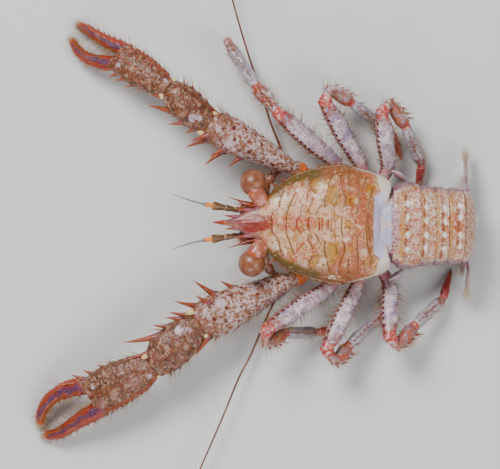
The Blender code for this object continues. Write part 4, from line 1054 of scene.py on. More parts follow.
def antennae():
    finish = Finish("antenna_chitin", (150, 104, 84), roughness=(0.3, 0.5), relief=0.010, grain=0.1)
    finish.coat((196, 168, 152), (0.35, 0.48, 0.62))
    finish.coat((96, 46, 36), finish.cells(0.16, 0.32, 0.14), strength=0.85)
    spine_coats(finish)
    base_finish = finish.done(coat=0.2)
    finish = Finish("antenna_whip_rings", (108, 66, 52), roughness=(0.3, 0.45), relief=0.004, grain=0.08)
    finish.coat((58, 34, 30), ("ring", 0.3, 0.8), strength=0.8)
    finish.coat((150, 104, 84), (1.4, 0.5, 0.62), strength=0.6)
    whip_finish = finish.done(soft=0.1, coat=0.2)
    for name, side in SIDES.items():
        bends = np.array(WHIPS[name])
        stalk = Limb([vec(0.90, side * 1.58, 2.48), vec(0.60, side * 1.87, 2.26), vec(0.80, side * 2.56, 1.86),
                      vec(1.27, side * 3.12, 1.46), vec(1.74, side * 3.46, 1.20)],
                     [(0, 0.32, 0.32), (0.12, 0.40, 0.38), (0.42, 0.38, 0.36), (0.50, 0.30, 0.30),
                      (0.70, 0.32, 0.31), (0.78, 0.22, 0.22), (1, 0.18, 0.18)], side)

        def articles(place, share, turn):
            notch = hill(share, 0.48, 0.012) + hill(share, 0.76, 0.012)
            return 0.02 * lumps(place, 0.25) - 0.05 * notch, {"joint": notch}

        shape = Shape()
        stalk.skin(shape, 90, 36, articles)
        draw = random.Random(8)
        add_spine_row(shape, stalk, 20, 0.30, 0.44, 2, 0.35, 0.4, 40, 0.12, draw)
        add_spine_row(shape, stalk, 60, 0.62, 0.72, 2, 0.25, 0.3, 40, 0.10, draw)
        shape.piece("antenna_stalk_" + name, base_finish, "feeler", ["antenna_base_" + name])
        whip = smooth_line(list(bends))
        reach = np.concatenate([[0], np.cumsum(np.linalg.norm(np.diff(whip, axis=0), axis=1))])
        places = np.arange(0, reach[-1], WHIP_STEP)
        line = np.stack([np.interp(places, reach, whip[:, axis]) for axis in range(3)], -1)
        size = np.interp(places, [0, 2, reach[-1]], [0.12, 0.085, 0.04])
        beat = np.arange(len(places)) % 3
        size = size * np.where(beat == 0, 0.84, 1.0)
        cut = int(np.searchsorted(places, reach[WHIP_JOINT * 12]))
        for part, span in (("near", slice(0, cut + 1)), ("far", slice(cut, len(places)))):
            shape = Shape()
            add_tube(shape, line[span], size[span], 8, ring=(beat[span] == 0)[:, None] * 1.0)
            shape.piece("antenna_whip_rings_%s_%s" % (part, name), whip_finish, "feeler",
                        ["antenna_whip_%s_%s" % (part, name)])


antennae()


# The third maxillipeds: a pair of small jointed mouth legs of pink speckled chitin. Each is
# one bent limb that grows from the breastplate's front and is folded below the head.
def maxillipeds():
    finish = Finish("maxilliped_chitin", (206, 130, 110), roughness=(0.3, 0.5), relief=0.010, grain=0.12)
    finish.coat((228, 200, 190), (0.4, 0.45, 0.6))
    finish.coat((160, 60, 50), finish.cells(0.18, 0.28, 0.14))
    spine_coats(finish)
    finish = finish.done(coat=0.2)
    for name, side in SIDES.items():
        line = [vec(0.93, side * 0.72, 1.98), vec(0.2, side * 0.95, 1.66), vec(-0.7, side * 0.95, 1.50),
                vec(-1.25, side * 0.72, 1.80)]
        rows = [(0, 0.30, 0.30), (0.15, 0.36, 0.34), (0.42, 0.34, 0.32), (0.48, 0.24, 0.24), (0.62, 0.30, 0.28),
                (0.78, 0.22, 0.22), (0.92, 0.16, 0.16), (1, 0.08, 0.08)]
        jaw_leg = Limb(line, rows, side)
        shape = Shape()
        jaw_leg.skin(shape, 70, 36)
        add_spine_row(shape, jaw_leg, -20, 0.20, 0.40, 3, 0.25, 0.3, 40, 0.09, random.Random(4))
        shape.piece("mouth_leg_" + name, finish, "under_shell", ["maxilliped_" + name])


maxillipeds()


# The chelipeds: the long front legs with the claws, of hard rough chitin covered with
# small knobs, with rows of forward-leaning red spines, cream joints and dark red fingers.
CHELIPEDS = {
    "right": {
        "root": (3.50, 2.85, 1.72), "hip": (2.98, 3.46, 1.80), "thigh": (2.46, 3.66, 2.10),
        "elbow": (-2.98, 6.38, 3.15), "wrist": (-5.62, 8.62, 3.00), "knuckle": (-8.98, 10.68, 2.10),
        "merus": 1.08, "carpus": 1.07, "palm": 1.05, "spread": 0.60, "finger": 0.37,
        "fixed": [(-8.20, 11.02, 2.20), (-9.60, 11.62, 1.60), (-10.8, 12.32, 0.95), (-11.64, 12.86, 0.22)],
        "moving": [(-10.55, 10.42, 1.45), (-11.50, 10.96, 0.90), (-12.10, 11.84, 0.22)],
    },
    "left": {
        "root": (3.50, -2.85, 1.72), "hip": (2.96, -3.46, 1.80), "thigh": (2.42, -3.70, 2.10),
        "elbow": (-3.44, -6.58, 3.15), "wrist": (-6.40, -9.38, 3.00), "knuckle": (-10.36, -11.50, 2.10),
        "merus": 1.28, "carpus": 1.28, "palm": 1.40, "spread": 0.92, "finger": 0.46,
        "fixed": [(-9.50, -12.12, 2.15), (-11.0, -12.95, 1.60), (-12.4, -13.88, 0.95), (-13.48, -14.12, 0.24)],
        "moving": [(-12.1, -11.10, 1.55), (-13.2, -11.85, 1.10), (-13.66, -12.80, 0.66), (-13.72, -13.42, 0.24)],
    },
}
CLAW_HALF_GAP = 0.05
CLAW_LIMBS = {}  # the limbs of each piece, on which the setae stand later
ISCHIUM_ROWS = [(0, 0.46, 0.42), (0.3, 0.52, 0.46), (0.7, 0.55, 0.48), (1, 0.46, 0.46)]
MERUS_ROWS = [(0, 0.44, 0.48), (0.07, 0.54, 0.58), (0.25, 0.68, 0.72), (0.50, 0.88, 0.88), (0.76, 1.03, 0.94),
              (0.92, 0.98, 0.88), (1, 0.78, 0.72)]
CARPUS_ROWS = [(0, 0.62, 0.55), (0.14, 0.86, 0.74), (0.45, 1.0, 0.90), (0.80, 0.96, 0.86), (1, 0.68, 0.62)]
PALM_ROWS = [(0, 0.58, 0.52), (0.12, 0.76, 0.64), (0.40, 0.95, 0.76), (0.75, 1.02, 0.74), (1, 0.86, 0.56)]
FINGER_ROWS = [(0, 1.30, 1.15), (0.2, 1.24, 1.05), (0.4, 1.08, 0.94), (0.65, 0.90, 0.82), (0.85, 0.72, 0.62),
               (0.96, 0.52, 0.46), (1, 0.26, 0.26)]
# The big spines on the inner and outer edges: x and y of root and tip, and the root's degrees
EDGE_TEETH = {
    ("right", "merus"): [(-1.17, 3.82, -1.73, 3.54, 0), (-2.31, 4.06, -3.34, 3.61, -8),
                         (-2.21, 4.39, -3.0, 4.2, 30),
                         (-3.52, 4.82, -4.57, 4.79, 0), (-3.56, 5.32, -4.26, 5.19, 50),
                         (-2.53, 7.18, -2.98, 7.72, 178)],
    ("right", "carpus"): [(-4.1, 5.9, -4.56, 5.7, 0), (-4.82, 6.15, -5.77, 6.28, 0),
                          (-5.48, 7.08, -7.11, 7.55, 0),
                          (-5.89, 7.92, -6.94, 8.28, 20)],
    ("right", "palm"): [(-7.09, 8.6, -7.62, 8.56, 0), (-7.85, 8.84, -8.49, 8.72, 0),
                        (-8.34, 9.23, -9.25, 9.13, 10),
                        (-8.93, 9.58, -9.61, 9.39, 0), (-9.6, 9.8, -10.15, 9.7, 10)],
    ("right", "finger"): [(-9.98, 10.05, -10.47, 10.01, 0), (-10.69, 10.3, -11.06, 10.16, 0),
                          (-11.15, 10.55, -11.53, 10.43, 0), (-11.6, 10.9, -11.85, 10.8, 0)],
    ("left", "merus"): [(-1.32, -3.9, -2.15, -3.75, 0), (-2.73, -4.18, -3.91, -3.72, -8),
                        (-2.53, -4.5, -3.04, -4.31, 30),
                        (-3.18, -4.8, -3.73, -4.73, 50), (-3.79, -5.16, -5.17, -5.12, 0),
                        (-2.74, -7.9, -3.61, -8.75, 178)],
    ("left", "carpus"): [(-4.49, -5.75, -5.48, -5.86, 0), (-4.94, -6.07, -5.7, -6.21, 20),
                         (-5.76, -6.53, -6.49, -6.73, 0),
                         (-6.19, -7.4, -8.44, -7.91, 0), (-6.69, -8.56, -8.01, -8.94, 20)],
    ("left", "palm"): [(-8.83, -9.21, -9.41, -9.14, 0), (-9.49, -9.39, -10.08, -9.36, 10),
                       (-10.33, -9.82, -10.99, -9.7, 0),
                       (-11.07, -10.12, -11.74, -10.03, 0), (-11.54, -10.67, -12.36, -10.69, 20)],
    ("left", "finger"): [(-12.95, -11.65, -13.39, -11.61, 0), (-13.14, -11.91, -13.6, -11.94, 0),
                         (-13.3, -12.3, -13.76, -12.26, 0), (-13.42, -12.63, -13.86, -12.6, 0)],
}
# Rows of small spines that lie along the shell: degrees round the limb, first and last share
# of its length, count, first and last length, degrees of lean to the far end and root radius
MERUS_SPINES = [(104, 0.40, 0.92, 5, 0.18, 0.26, 74, 0.06), (144, 0.30, 0.94, 7, 0.18, 0.24, 68, 0.06),
                (180, 0.30, 0.88, 6, 0.20, 0.30, 60, 0.08), (-36, 0.3, 0.9, 6, 0.22, 0.32, 56, 0.09)]
CARPUS_SPINES = [(66, 0.22, 0.88, 4, 0.24, 0.32, 72, 0.07), (100, 0.20, 0.92, 5, 0.24, 0.32, 72, 0.07),
                 (136, 0.20, 0.88, 5, 0.20, 0.28, 68, 0.07), (176, 0.30, 0.86, 4, 0.26, 0.34, 58, 0.09),
                 (-34, 0.2, 0.85, 4, 0.24, 0.34, 56, 0.10)]
PALM_SPINES = [(58, 0.16, 0.94, 7, 0.26, 0.36, 74, 0.075), (92, 0.12, 0.96, 8, 0.30, 0.42, 75, 0.085),
               (128, 0.16, 0.94, 7, 0.24, 0.32, 72, 0.075), (158, 0.12, 0.96, 9, 0.24, 0.32, 66, 0.08),
               (182, 0.14, 0.97, 11, 0.28, 0.36, 58, 0.10), (-34, 0.2, 0.9, 6, 0.24, 0.34, 56, 0.09)]
# Round dark spots and smooth whitish patches on the upper side: share, degrees and radius
MERUS_SPOTS = [(0.20, 52, 0.10), (0.31, 38, 0.12), (0.36, 84, 0.09), (0.47, 34, 0.11), (0.50, 62, 0.12),
               (0.60, 52, 0.12), (0.56, 100, 0.09), (0.66, 28, 0.09), (0.70, 84, 0.11), (0.76, 118, 0.12),
               (0.42, 122, 0.09), (0.24, 108, 0.08), (0.84, 60, 0.10), (0.86, 98, 0.10), (0.12, 80, 0.09),
               (0.28, 66, 0.06), (0.40, 50, 0.06), (0.44, 92, 0.06), (0.54, 82, 0.07), (0.65, 70, 0.06),
               (0.33, 104, 0.06), (0.51, 140, 0.07), (0.64, 140, 0.07), (0.78, 44, 0.07), (0.15, 34, 0.07)]
MERUS_PATCHES = [(0.73, 62, 0.34), (0.38, 58, 0.22), (0.55, 34, 0.22), (0.25, 72, 0.22), (0.90, 86, 0.20)]
CARPUS_SPOTS = [(0.30, 92, 0.06), (0.45, 120, 0.07), (0.58, 84, 0.06), (0.72, 112, 0.06), (0.40, 60, 0.06)]
CARPUS_PATCHES = [(0.28, 66, 0.36), (0.18, 84, 0.24)]
PALM_PATCHES = [(0.08, 120, 0.2), (0.88, 64, 0.2)]


def scaled(rows, width, height=None):
    height = width if height is None else height
    return [(share, a * width, b * height) for share, a, b in rows]


def rough_shell(kind, length, spots=(), patches=()):
    """Small close-set knobs, with dark spots and smooth pale patches between them."""
    def relief(place, share, turn):
        bare = ramp(share, -0.03, 0.03) * ramp(share, 1.02, 0.98)
        marks = []
        for places, soft in ((spots, 0.8), (patches, 0.35)):
            mark = share * 0
            for at, degrees, radius in places:
                away = (turn - math.radians(degrees) + math.pi) % (2 * math.pi) - math.pi
                reach = np.hypot((share - at) * length, away * 0.95) * (1 + 0.25 * lumps(place, 0.3))
                mark = np.maximum(mark, ramp(reach, radius * 1.3, radius * soft))
            marks.append(mark)
        smooth = (1 - 0.7 * marks[1]) * (1 - 0.6 * marks[0])
        if kind == "merus":
            smooth = smooth * (0.35 + 0.65 * np.maximum(ramp(share, 0.72, 0.88), ramp(np.sin(turn), 0.3, 0.0)))
        big, fine = knobs(place, 0.28), knobs(place + 7, 0.15)
        height = bare * (smooth * (0.038 * big + 0.020 * fine) + 0.02 * lumps(place, 0.9) - 0.02 * marks[0])
        return height, {"knob": np.maximum(big, 0.8 * fine) * bare * smooth, "spot": marks[0], "patch": marks[1],
                        "edge": ramp(np.cos(turn), -0.72, -0.94) * (kind == "palm"),
                        "far": ramp(share + 0.08 * lumps(place, 0.5), 0.70, 0.95) * (kind == "merus")}
    return relief


def finger_shell(place, share, turn):
    furrow = hill(np.cos(turn) + 0.4 * lumps(place, 0.4), 0.0, 0.45 - 0.25 * share)
    furrow = furrow * ramp(np.sin(turn), 0.3, 0.6)
    teeth = ramp(np.cos(turn), -0.75, -0.95) * np.maximum(0, np.sin(share * 60)) * ramp(share, 0.15, 0.3)
    height = 0.03 * knobs(place, 0.22) * ramp(share, 0.6, 0.2) + 0.012 * lumps(place, 0.2) - 0.03 * furrow
    return (height + 0.03 * teeth) * ramp(share, 1.0, 0.9), {"furrow": furrow}


def claw_finish():
    finish = Finish("claw_chitin", (104, 68, 50), roughness=(0.26, 0.46), relief=0.012, grain=0.07)
    finish.coat((74, 44, 34), (0.40, 0.48, 0.66, 3))
    finish.coat((120, 84, 78), (1.1, 0.50, 0.64))
    finish.coat((170, 138, 124), (0.42, 0.53, 0.64, 2), strength=0.7)
    merus = finish.value("merus", 0.5, 1)
    finish.coat((198, 178, 176), merus, (0.6, 0.28, 0.50), strength=0.9)
    finish.coat((126, 78, 42), merus, (0.20, 0.46, 0.58, 2), strength=0.85)
    finish.coat((104, 42, 34), merus, finish.cells(0.22, 0.20, 0.10), strength=0.8)
    finish.coat((118, 70, 54), "far", (0.4, 0.30, 0.55), strength=0.85)
    finish.coat((142, 106, 84), ("knob", 0.30, 0.85), strength=0.60)
    # Whitish knob tops: partly the shell's own cream dots, partly painted highlights (glints).
    finish.coat((196, 176, 164), ("knob", 0.6, 0.95), (0.4, 0.56, 0.66), strength=0.55)
    finish.coat((116, 46, 32), finish.cells(0.34, 0.27, 0.15), strength=0.8)
    finish.coat((190, 172, 178), ("patch", 0.2, 0.9), (0.2, 0.30, 0.5), strength=0.85)
    finish.coat((90, 38, 26), ("spot", 0.10, 0.80), strength=0.95)
    finish.coat((146, 66, 40), "edge", (0.35, 0.3, 0.5), strength=0.85)
    finish.coat((150, 62, 28), ("finger", 0.2, 1.0), strength=0.9)
    finish.coat((72, 56, 88), ("finger", 0.3, 1.0), ("furrow", 0.15, 0.7), (0.35, 0.25, 0.45), strength=0.85)
    finish.coat((190, 180, 188), ("finger", 0.9, 0.3), ("finger", 0.02, 0.2), finish.cells(0.22, 0.26, 0.1),
                strength=0.7)
    finish.coat((196, 92, 24), ("tip", 0.2, 0.9))
    finish.coat((214, 120, 8), ("ischium", 0.4, 1), strength=0.9)
    finish.coat((112, 66, 52), ("joint", 0.4, 1), strength=0.9)
    finish.coat((226, 200, 158), ("rim", 0.2, 0.7), (0.25, 0.15, 0.35))
    finish.coat((150, 112, 84), ("cap", 0.3, 0.9), strength=0.8)
    spine_coats(finish)
    finish.coat((118, 76, 78), ("tooth", 0.5, 1), ("spine", 0.40, 0.16), strength=0.9)
    return finish.done(soft=0.05, shine=0.4, coat=0.18)


CLAW_FINISH = claw_finish()


def marked(relief, **marks):
    """The same relief with more named values, which may follow the share of the length."""
    def with_marks(place, share, turn):
        height, values = relief(place, share, turn)
        extra = {key: mark(share) if callable(mark) else share * 0 + mark for key, mark in marks.items()}
        return height, {**values, **extra}
    return with_marks


def add_tooth(shape, limb, root_x, root_y, tip_x, tip_y, degrees):
    """A big curved spine with a wide lilac root, from an edge of the limb to its tip."""
    share = float(np.argmin(np.hypot(limb.line[:, 0] - root_x, limb.line[:, 1] - root_y))) / (len(limb.line) - 1)
    place, normal, heading = limb.surface(vec(np.clip(share, 0.04, 0.96)), np.radians(vec(degrees)))
    root = vec(0.3 * root_x + 0.7 * place[0, 0], 0.3 * root_y + 0.7 * place[0, 1], place[0, 2]) - normal[0] * 0.1
    reach = vec(tip_x - root[0], tip_y - root[1], 0)
    reach[2] = 0.10 * np.linalg.norm(reach) + 0.5 * heading[0, 2] * np.linalg.norm(reach)
    length = float(np.linalg.norm(reach))
    start = unit(0.4 * reach / length + 0.9 * normal[0])
    add_spine(shape, root, normal[0], reach / length, length, 0.13 + 0.08 * length, start, tooth=1.0)


def claw_piece(name, kind, parts, rows=()):
    """One piece of a cheliped: its skins, and the spines on them."""
    draw = random.Random(sum(map(ord, name + kind)))
    shape = Shape()
    for limb, rings, sides, relief in parts:
        limb.skin(shape, rings, sides, relief)
    for row in rows:
        add_spine_row(shape, parts[0][0], *row, draw)
    for tooth in EDGE_TEETH.get((name, kind), ()):
        add_tooth(shape, parts[0][0], *tooth)
    CLAW_LIMBS[(name, kind)] = [part[0] for part in parts]
    return shape


JOINT_LUMPS = [  # shares aside, mm ahead, shares up and half length of the cream lumps on a joint
    (-0.90, 0.02, 0.28, 0.25), (-0.94, 0.16, 0.16, 0.19), (0.94, 0.02, 0.12, 0.19), (-0.76, -0.12, 0.42, 0.14),
]


def add_joint(shape, middle, face, size, inner):
    """The soft skin inside a joint, and the cream lumps on which it turns, larger on the inner side."""
    across = unit(np.cross(UP, face))
    up = np.cross(face, across)
    add_ball(shape, middle, face * 0.24, across * size * 0.80, up * size * 0.60, joint=1.0)
    for aside, ahead, lift, reach in JOINT_LUMPS:
        place = middle - across * (aside * inner * size) + face * ahead + up * (lift * size)
        add_ball(shape, place, face * reach * 1.1, across * reach * 0.8, up * reach * 0.8, 14, 18, rim=0.8)


def cheliped(name, side):
    sizes = CHELIPEDS[name]
    bends = ("root", "hip", "thigh", "elbow", "wrist", "knuckle")
    root, hip, thigh, elbow, wrist, knuckle = (vec(*sizes[bend]) for bend in bends)
    upper, middle, lower = unit(elbow - thigh), unit(wrist - elbow), unit(knuckle - wrist)
    elbow_face, wrist_face = unit(upper + middle), unit(middle + lower)
    thigh_face = unit(unit(thigh - hip) + upper)

    def make(kind, shape):
        shape.piece("shell_cheliped_%s_%s" % (kind, name), CLAW_FINISH, "claw_shell",
                    ["cheliped_%s_%s" % (kind, name)])

    def amber(share):
        return ramp(share, 0.86, 0.70)

    ischium = Limb([root, hip, thigh], ISCHIUM_ROWS, side, start_face=vec(0, side, 0), end_face=thigh_face)
    shell = marked(rough_shell("ischium", 1.4), merus=1, ischium=amber)
    make("ischium", claw_piece(name, "ischium", [(ischium, 40, 60, shell)]))
    start = thigh + thigh_face * 0.1
    merus = Limb([start, (start + elbow) / 2 + UP * 0.12, elbow - elbow_face * CLAW_HALF_GAP],
                 scaled(MERUS_ROWS, sizes["merus"], 1.02), side, start_face=thigh_face, end_face=elbow_face)
    shell = marked(rough_shell("merus", merus.length, MERUS_SPOTS, MERUS_PATCHES), merus=1)
    make("merus", claw_piece(name, "merus", [(merus, 180, 150, shell)], MERUS_SPINES))
    carpus = Limb([elbow + elbow_face * CLAW_HALF_GAP, (elbow + wrist) / 2, wrist - wrist_face * CLAW_HALF_GAP],
                  scaled(CARPUS_ROWS, sizes["carpus"], 0.98), side, start_face=elbow_face, end_face=wrist_face)
    shell = rough_shell("carpus", carpus.length, CARPUS_SPOTS, CARPUS_PATCHES)
    shape = claw_piece(name, "carpus", [(carpus, 110, 150, shell)], CARPUS_SPINES)
    add_joint(shape, elbow, elbow_face, sizes["merus"] * 0.78, side)
    add_joint(shape, wrist, wrist_face, sizes["carpus"] * 0.66, side)
    make("carpus", shape)
    palm = Limb([wrist + wrist_face * CLAW_HALF_GAP, (wrist + knuckle) / 2, knuckle],
                scaled(PALM_ROWS, sizes["palm"], 1.0), side, start_face=wrist_face)
    finger_rows = scaled(FINGER_ROWS, sizes["finger"])
    reddening = {"finger": lambda share: ramp(share, -0.10, 0.12), "tip": lambda share: ramp(share, 0.80, 1.0)}
    fixed = Limb([vec(*place) for place in sizes["fixed"]], finger_rows, side)
    shell = rough_shell("palm", palm.length, (), PALM_PATCHES)
    shape = claw_piece(name, "palm", [(palm, 150, 170, shell),
            (fixed, 110, 60, marked(finger_shell, **reddening))],
                       PALM_SPINES)
    draw = random.Random(7)
    add_spine_row(shape, fixed, 176, 0.20, 0.80, 7, 0.28, 0.22, 56, 0.08, draw)
    add_spine_row(shape, fixed, 110, 0.12, 0.50, 4, 0.26, 0.20, 70, 0.06, draw)
    inward = palm.frame(vec(1.0))[2][0]
    hinge = knuckle + inward * (sizes["spread"] - 0.04) + lower * 0.12
    add_ball(shape, knuckle + inward * sizes["spread"] * 0.9, lower * 0.3, inward * sizes["finger"] * 0.9,
             UP * sizes["finger"] * 0.9, joint=1.0)
    make("palm", shape)
    moving = Limb([hinge] + [vec(*place) for place in sizes["moving"]], finger_rows, side, start_face=lower)
    shape = claw_piece(name, "finger", [(moving, 120, 60, marked(finger_shell, **reddening))])
    add_spine_row(shape, moving, 60, 0.10, 0.55, 5, 0.26, 0.20, 68, 0.07, draw)
    make("finger", shape)


for side_name, side_sign in SIDES.items():
    cheliped(side_name, side_sign)


# The walking legs: three pairs of slim legs of lilac-white chitin, folded at the knee,
# with brown-red spots along the front edge, orange spinules and coral-red joints.
LEGS = {  # root, hip, knee, bend past the knee, wrist, ankle and the tip on the floor
    ("right", 2): [(5.55, 2.85, 1.68), (5.30, 3.95, 1.78), (1.52, 7.18, 3.70), None,
                   (0.06, 8.90, 3.20), (-1.74, 11.62, 2.05), (-1.82, 11.88, 0.0)],
    ("right", 3): [(7.00, 2.85, 1.68), (6.90, 3.95, 1.76), (4.28, 8.40, 3.55), (4.98, 8.60, 2.89),
                   (6.30, 7.92, 2.15), (8.95, 5.95, 0.90), (9.62, 4.38, 0.0)],
    ("right", 4): [(8.28, 2.85, 1.68), (8.72, 3.88, 1.80), (8.22, 7.84, 3.45), (8.82, 7.76, 2.85),
                   (9.84, 6.42, 2.05), (10.92, 3.95, 1.00), (10.70, 2.35, 0.0)],
    ("left", 2): [(5.50, -2.85, 1.68), (5.14, -3.95, 1.80), (0.58, -7.22, 4.35), (1.06, -7.64, 3.70),
                  (2.22, -7.14, 2.55), (4.30, -7.06, 0.98), (5.90, -6.76, 0.0)],
    ("left", 3): [(6.95, -2.85, 1.68), (6.83, -3.95, 1.76), (4.72, -8.60, 3.55), (5.60, -8.72, 2.84),
                  (6.36, -7.90, 2.15), (8.62, -5.72, 0.90), (9.45, -4.15, 0.0)],
    ("left", 4): [(8.28, -2.85, 1.68), (8.95, -3.88, 1.80), (9.02, -7.78, 3.45), (9.54, -7.72, 2.85),
                  (10.66, -6.52, 2.05), (12.44, -4.74, 1.00), (12.98, -2.94, 0.0)],
}
LEG_ROWS = {
    "merus": [(0, 0.40, 0.38), (0.14, 0.43, 0.42), (0.26, 0.48, 0.50), (0.5, 0.58, 0.56), (0.8, 0.58, 0.54),
              (1, 0.42, 0.40)],
    "carpus": [(0, 0.30, 0.30), (0.3, 0.38, 0.36), (0.65, 0.48, 0.46), (0.88, 0.48, 0.45), (1, 0.38, 0.36)],
    "propodus": [(0, 0.32, 0.32), (0.12, 0.38, 0.38), (0.5, 0.37, 0.39), (0.88, 0.38, 0.38), (1, 0.29, 0.29)],
    "dactylus": [(0, 0.27, 0.28), (0.15, 0.28, 0.30), (0.5, 0.23, 0.24), (0.8, 0.15, 0.15), (1, 0.06, 0.06)],
}
LEG_SPINES = {
    "merus": [(44, 0.16, 0.92, 12, 0.14, 0.26, 50, 0.06), (-60, 0.30, 0.90, 6, 0.16, 0.26, 44, 0.06)],
    "carpus": [(90, 0.22, 0.90, 5, 0.34, 0.60, 48, 0.10), (50, 0.3, 0.85, 4, 0.24, 0.36, 45, 0.08)],
    "propodus": [(90, 0.08, 0.9, 9, 0.16, 0.24, 50, 0.06), (-70, 0.1, 0.9, 9, 0.14, 0.20, 50, 0.05)],
    "dactylus": [],
}
LEG_GRID = {"merus": (110, 60), "carpus": (46, 48), "propodus": (80, 44), "dactylus": (50, 32)}
KNEE_ROOM = 0.08
LEG_HALF_GAP = 0.15
JOINT_SIZE = {"merus": 0.43, "carpus": 0.33, "propodus": 0.27}  # radius of each joint's rounded skin
OBLIQUE_CUT = 0.62


def leg_limbs(name, number):
    """The four pieces of a walking leg, joined as in the solids."""
    side = SIDES[name]
    root, hip, knee, bend, wrist, ankle, tip = (place and vec(*place) for place in LEGS[(name, number)])
    thigh = unit(knee - hip)
    if bend is None:
        knee_face = unit(thigh + unit(wrist - knee))
        merus_end = knee - knee_face * LEG_HALF_GAP
        carpus_line = [knee + knee_face * LEG_HALF_GAP, (knee + wrist) / 2]
        carpus_across = None
        carpus_face = knee_face
    else:
        merus_end = knee - thigh * OBLIQUE_CUT
        aside = bend - merus_end
        aside = unit(aside - thigh * (aside @ thigh))
        knee_face = unit(thigh + aside)
        start = merus_end + knee_face * (2 * LEG_HALF_GAP + KNEE_ROOM)
        carpus_line = [start, bend + aside * KNEE_ROOM]
        carpus_across = -unit(np.cross(aside, thigh))
        carpus_face = unit(knee_face + unit(bend - start))
    fore, shin, foot = unit(wrist - carpus_line[-1]), unit(ankle - wrist), unit(tip - ankle)
    wrist_face, ankle_face = unit(fore + shin), unit(shin + foot)
    heel = ankle + ankle_face * LEG_HALF_GAP
    return {
        "merus": Limb([root, hip, (hip + merus_end) / 2 + UP * 0.08, merus_end], LEG_ROWS["merus"], side,
                      start_face=vec(0, side, 0), end_face=knee_face),
        "carpus": Limb(carpus_line + [wrist - wrist_face * LEG_HALF_GAP], LEG_ROWS["carpus"], side,
                       across=carpus_across, start_face=carpus_face, end_face=wrist_face),
        "propodus": Limb([wrist + wrist_face * LEG_HALF_GAP, (wrist + ankle) / 2,
                          ankle - ankle_face * LEG_HALF_GAP],
                         LEG_ROWS["propodus"], side, start_face=wrist_face, end_face=ankle_face),
        "dactylus": Limb([heel, (heel + tip) / 2 + UP * 0.12, tip + UP * 0.06], LEG_ROWS["dactylus"], side,
                         across=unit(np.cross(UP, shin)) * side, start_face=ankle_face, end_face=-UP),
    }


def leg_shell(kind, length):
    """Low cross ridges, and the spots and cross lines of each kind of piece."""
    def relief(place, share, turn):
        mm = share * length
        ridge = ramp(np.sin(2 * math.pi * (mm / 0.19 + 0.8 * lumps(place, 0.5))), 0.3, 0.95)
        ridge = ridge * ramp(lumps(place * vec(1, 1, 0.6), 0.3), -0.1, 0.2)
        bare = ramp(share, 0.0, 0.08) * ramp(share, 1.0, 0.92)
        spot = hill(np.sin(turn - 0.6), 0.2, 0.18) * ramp(np.cos(turn - 0.6), 0, 0.3) * hill((mm / 0.36) % 1, 0.5,
                0.24)
        lines = ridge * ramp(np.cos(turn), 0.35, 0.05) * ramp(np.sin(turn), -0.2, 0.1)
        values = {
            "spot": spot * bare * (kind == "merus"), "lines": lines * bare,
            "red_end": ramp(share + 0.08 * lumps(place, 0.25), 0.88, 1.0) * (kind in ("merus", "carpus")),
            "brown_end": ramp(share + 0.06 * lumps(place, 0.3), 0.76, 0.92) * (kind != "dactylus"),
            "base": ramp(share, 0.30, 0.12) * (kind == "merus"),
        }
        for key, owner in (("toe", "dactylus"), ("shin", "propodus"), ("knee", "carpus")):
            values[key] = share * 0 + (kind == owner)
        return bare * (0.025 * ridge + 0.015 * lumps(place, 0.25)), values
    return relief


def leg_finish():
    finish = Finish("leg_chitin", (196, 180, 188), roughness=(0.26, 0.46), relief=0.010, grain=0.08)
    finish.coat((222, 210, 212), (0.5, 0.45, 0.62))
    finish.coat((150, 134, 160), (0.8, 0.52, 0.66), strength=0.9)
    # Greyish-lilac darkening on the lower side of each leg piece: painted shade.
    finish.coat((134, 118, 130), ("top", 0.45, -0.2), strength=0.8)
    # Brownish darkening of the front side of each leg piece: painted shade.
    finish.coat((140, 96, 86), ("front", 0.60, 0.98), strength=0.7)
    finish.coat((128, 48, 58), finish.cells(0.15, 0.34, 0.16), strength=0.85)
    finish.coat((164, 92, 70), ("knee", 0.5, 1), (0.4, 0.40, 0.6), strength=0.85)
    finish.coat((158, 160, 172), ("shin", 0.5, 1), strength=0.6)
    finish.coat((196, 130, 134), "base", strength=0.6)
    finish.coat((150, 44, 50), "base", finish.cells(0.16, 0.3, 0.14))
    finish.coat((138, 84, 72), "brown_end", (0.3, 0.36, 0.56), strength=0.85)
    finish.coat((150, 46, 50), ("toe", 0.5, 1), strength=0.9)
    finish.coat((186, 84, 46), ("toe", 0.5, 1), ("along", 0.35, 0.8), strength=0.8)
    finish.coat((92, 50, 38), ("lines", 0.25, 0.8), strength=0.85)
    finish.coat((72, 30, 26), ("spot", 0.20, 0.55))
    finish.coat((176, 66, 48), ("red_end", 0.1, 0.9), (0.3, 0.20, 0.46), strength=0.9)
    # Pale flecks on the coral joint ends: partly the knee's own whitish colour, partly a painted highlight.
    finish.coat((222, 196, 184), ("red_end", 0.5, 0.9), (0.3, 0.50, 0.64), strength=0.75)
    finish.coat((214, 190, 176), ("cap", 0.3, 0.9), strength=0.8)
    spine_coats(finish)
    return finish.done(soft=0.12, coat=0.25)


LEG_FINISH = leg_finish()


def walking_leg(name, number):
    draw = random.Random(number * 10 + len(name))
    limbs = leg_limbs(name, number)
    kinds = list(limbs)
    for kind, limb in limbs.items():
        shape = Shape()
        if kind != "dactylus":
            after = limbs[kinds[kinds.index(kind) + 1]]
            reach = JOINT_SIZE[kind]
            end, start = limb.line[-1], after.line[0]
            add_ball(shape, (end + start) / 2, vec(reach, 0, 0), vec(0, reach, 0), vec(0, 0, reach * 0.95), 24,
                     30,
                     red_end=1.0)
        limb.skin(shape, *LEG_GRID[kind], leg_shell(kind, limb.length))
        for row in LEG_SPINES[kind]:
            add_spine_row(shape, limb, *row, draw)
        label = "leg_%d_%s_%s" % (number, name, kind)
        shape.piece("shell_" + label, LEG_FINISH, "leg_shell", [label])


for leg_side, leg_number in LEGS:
    walking_leg(leg_side, leg_number)


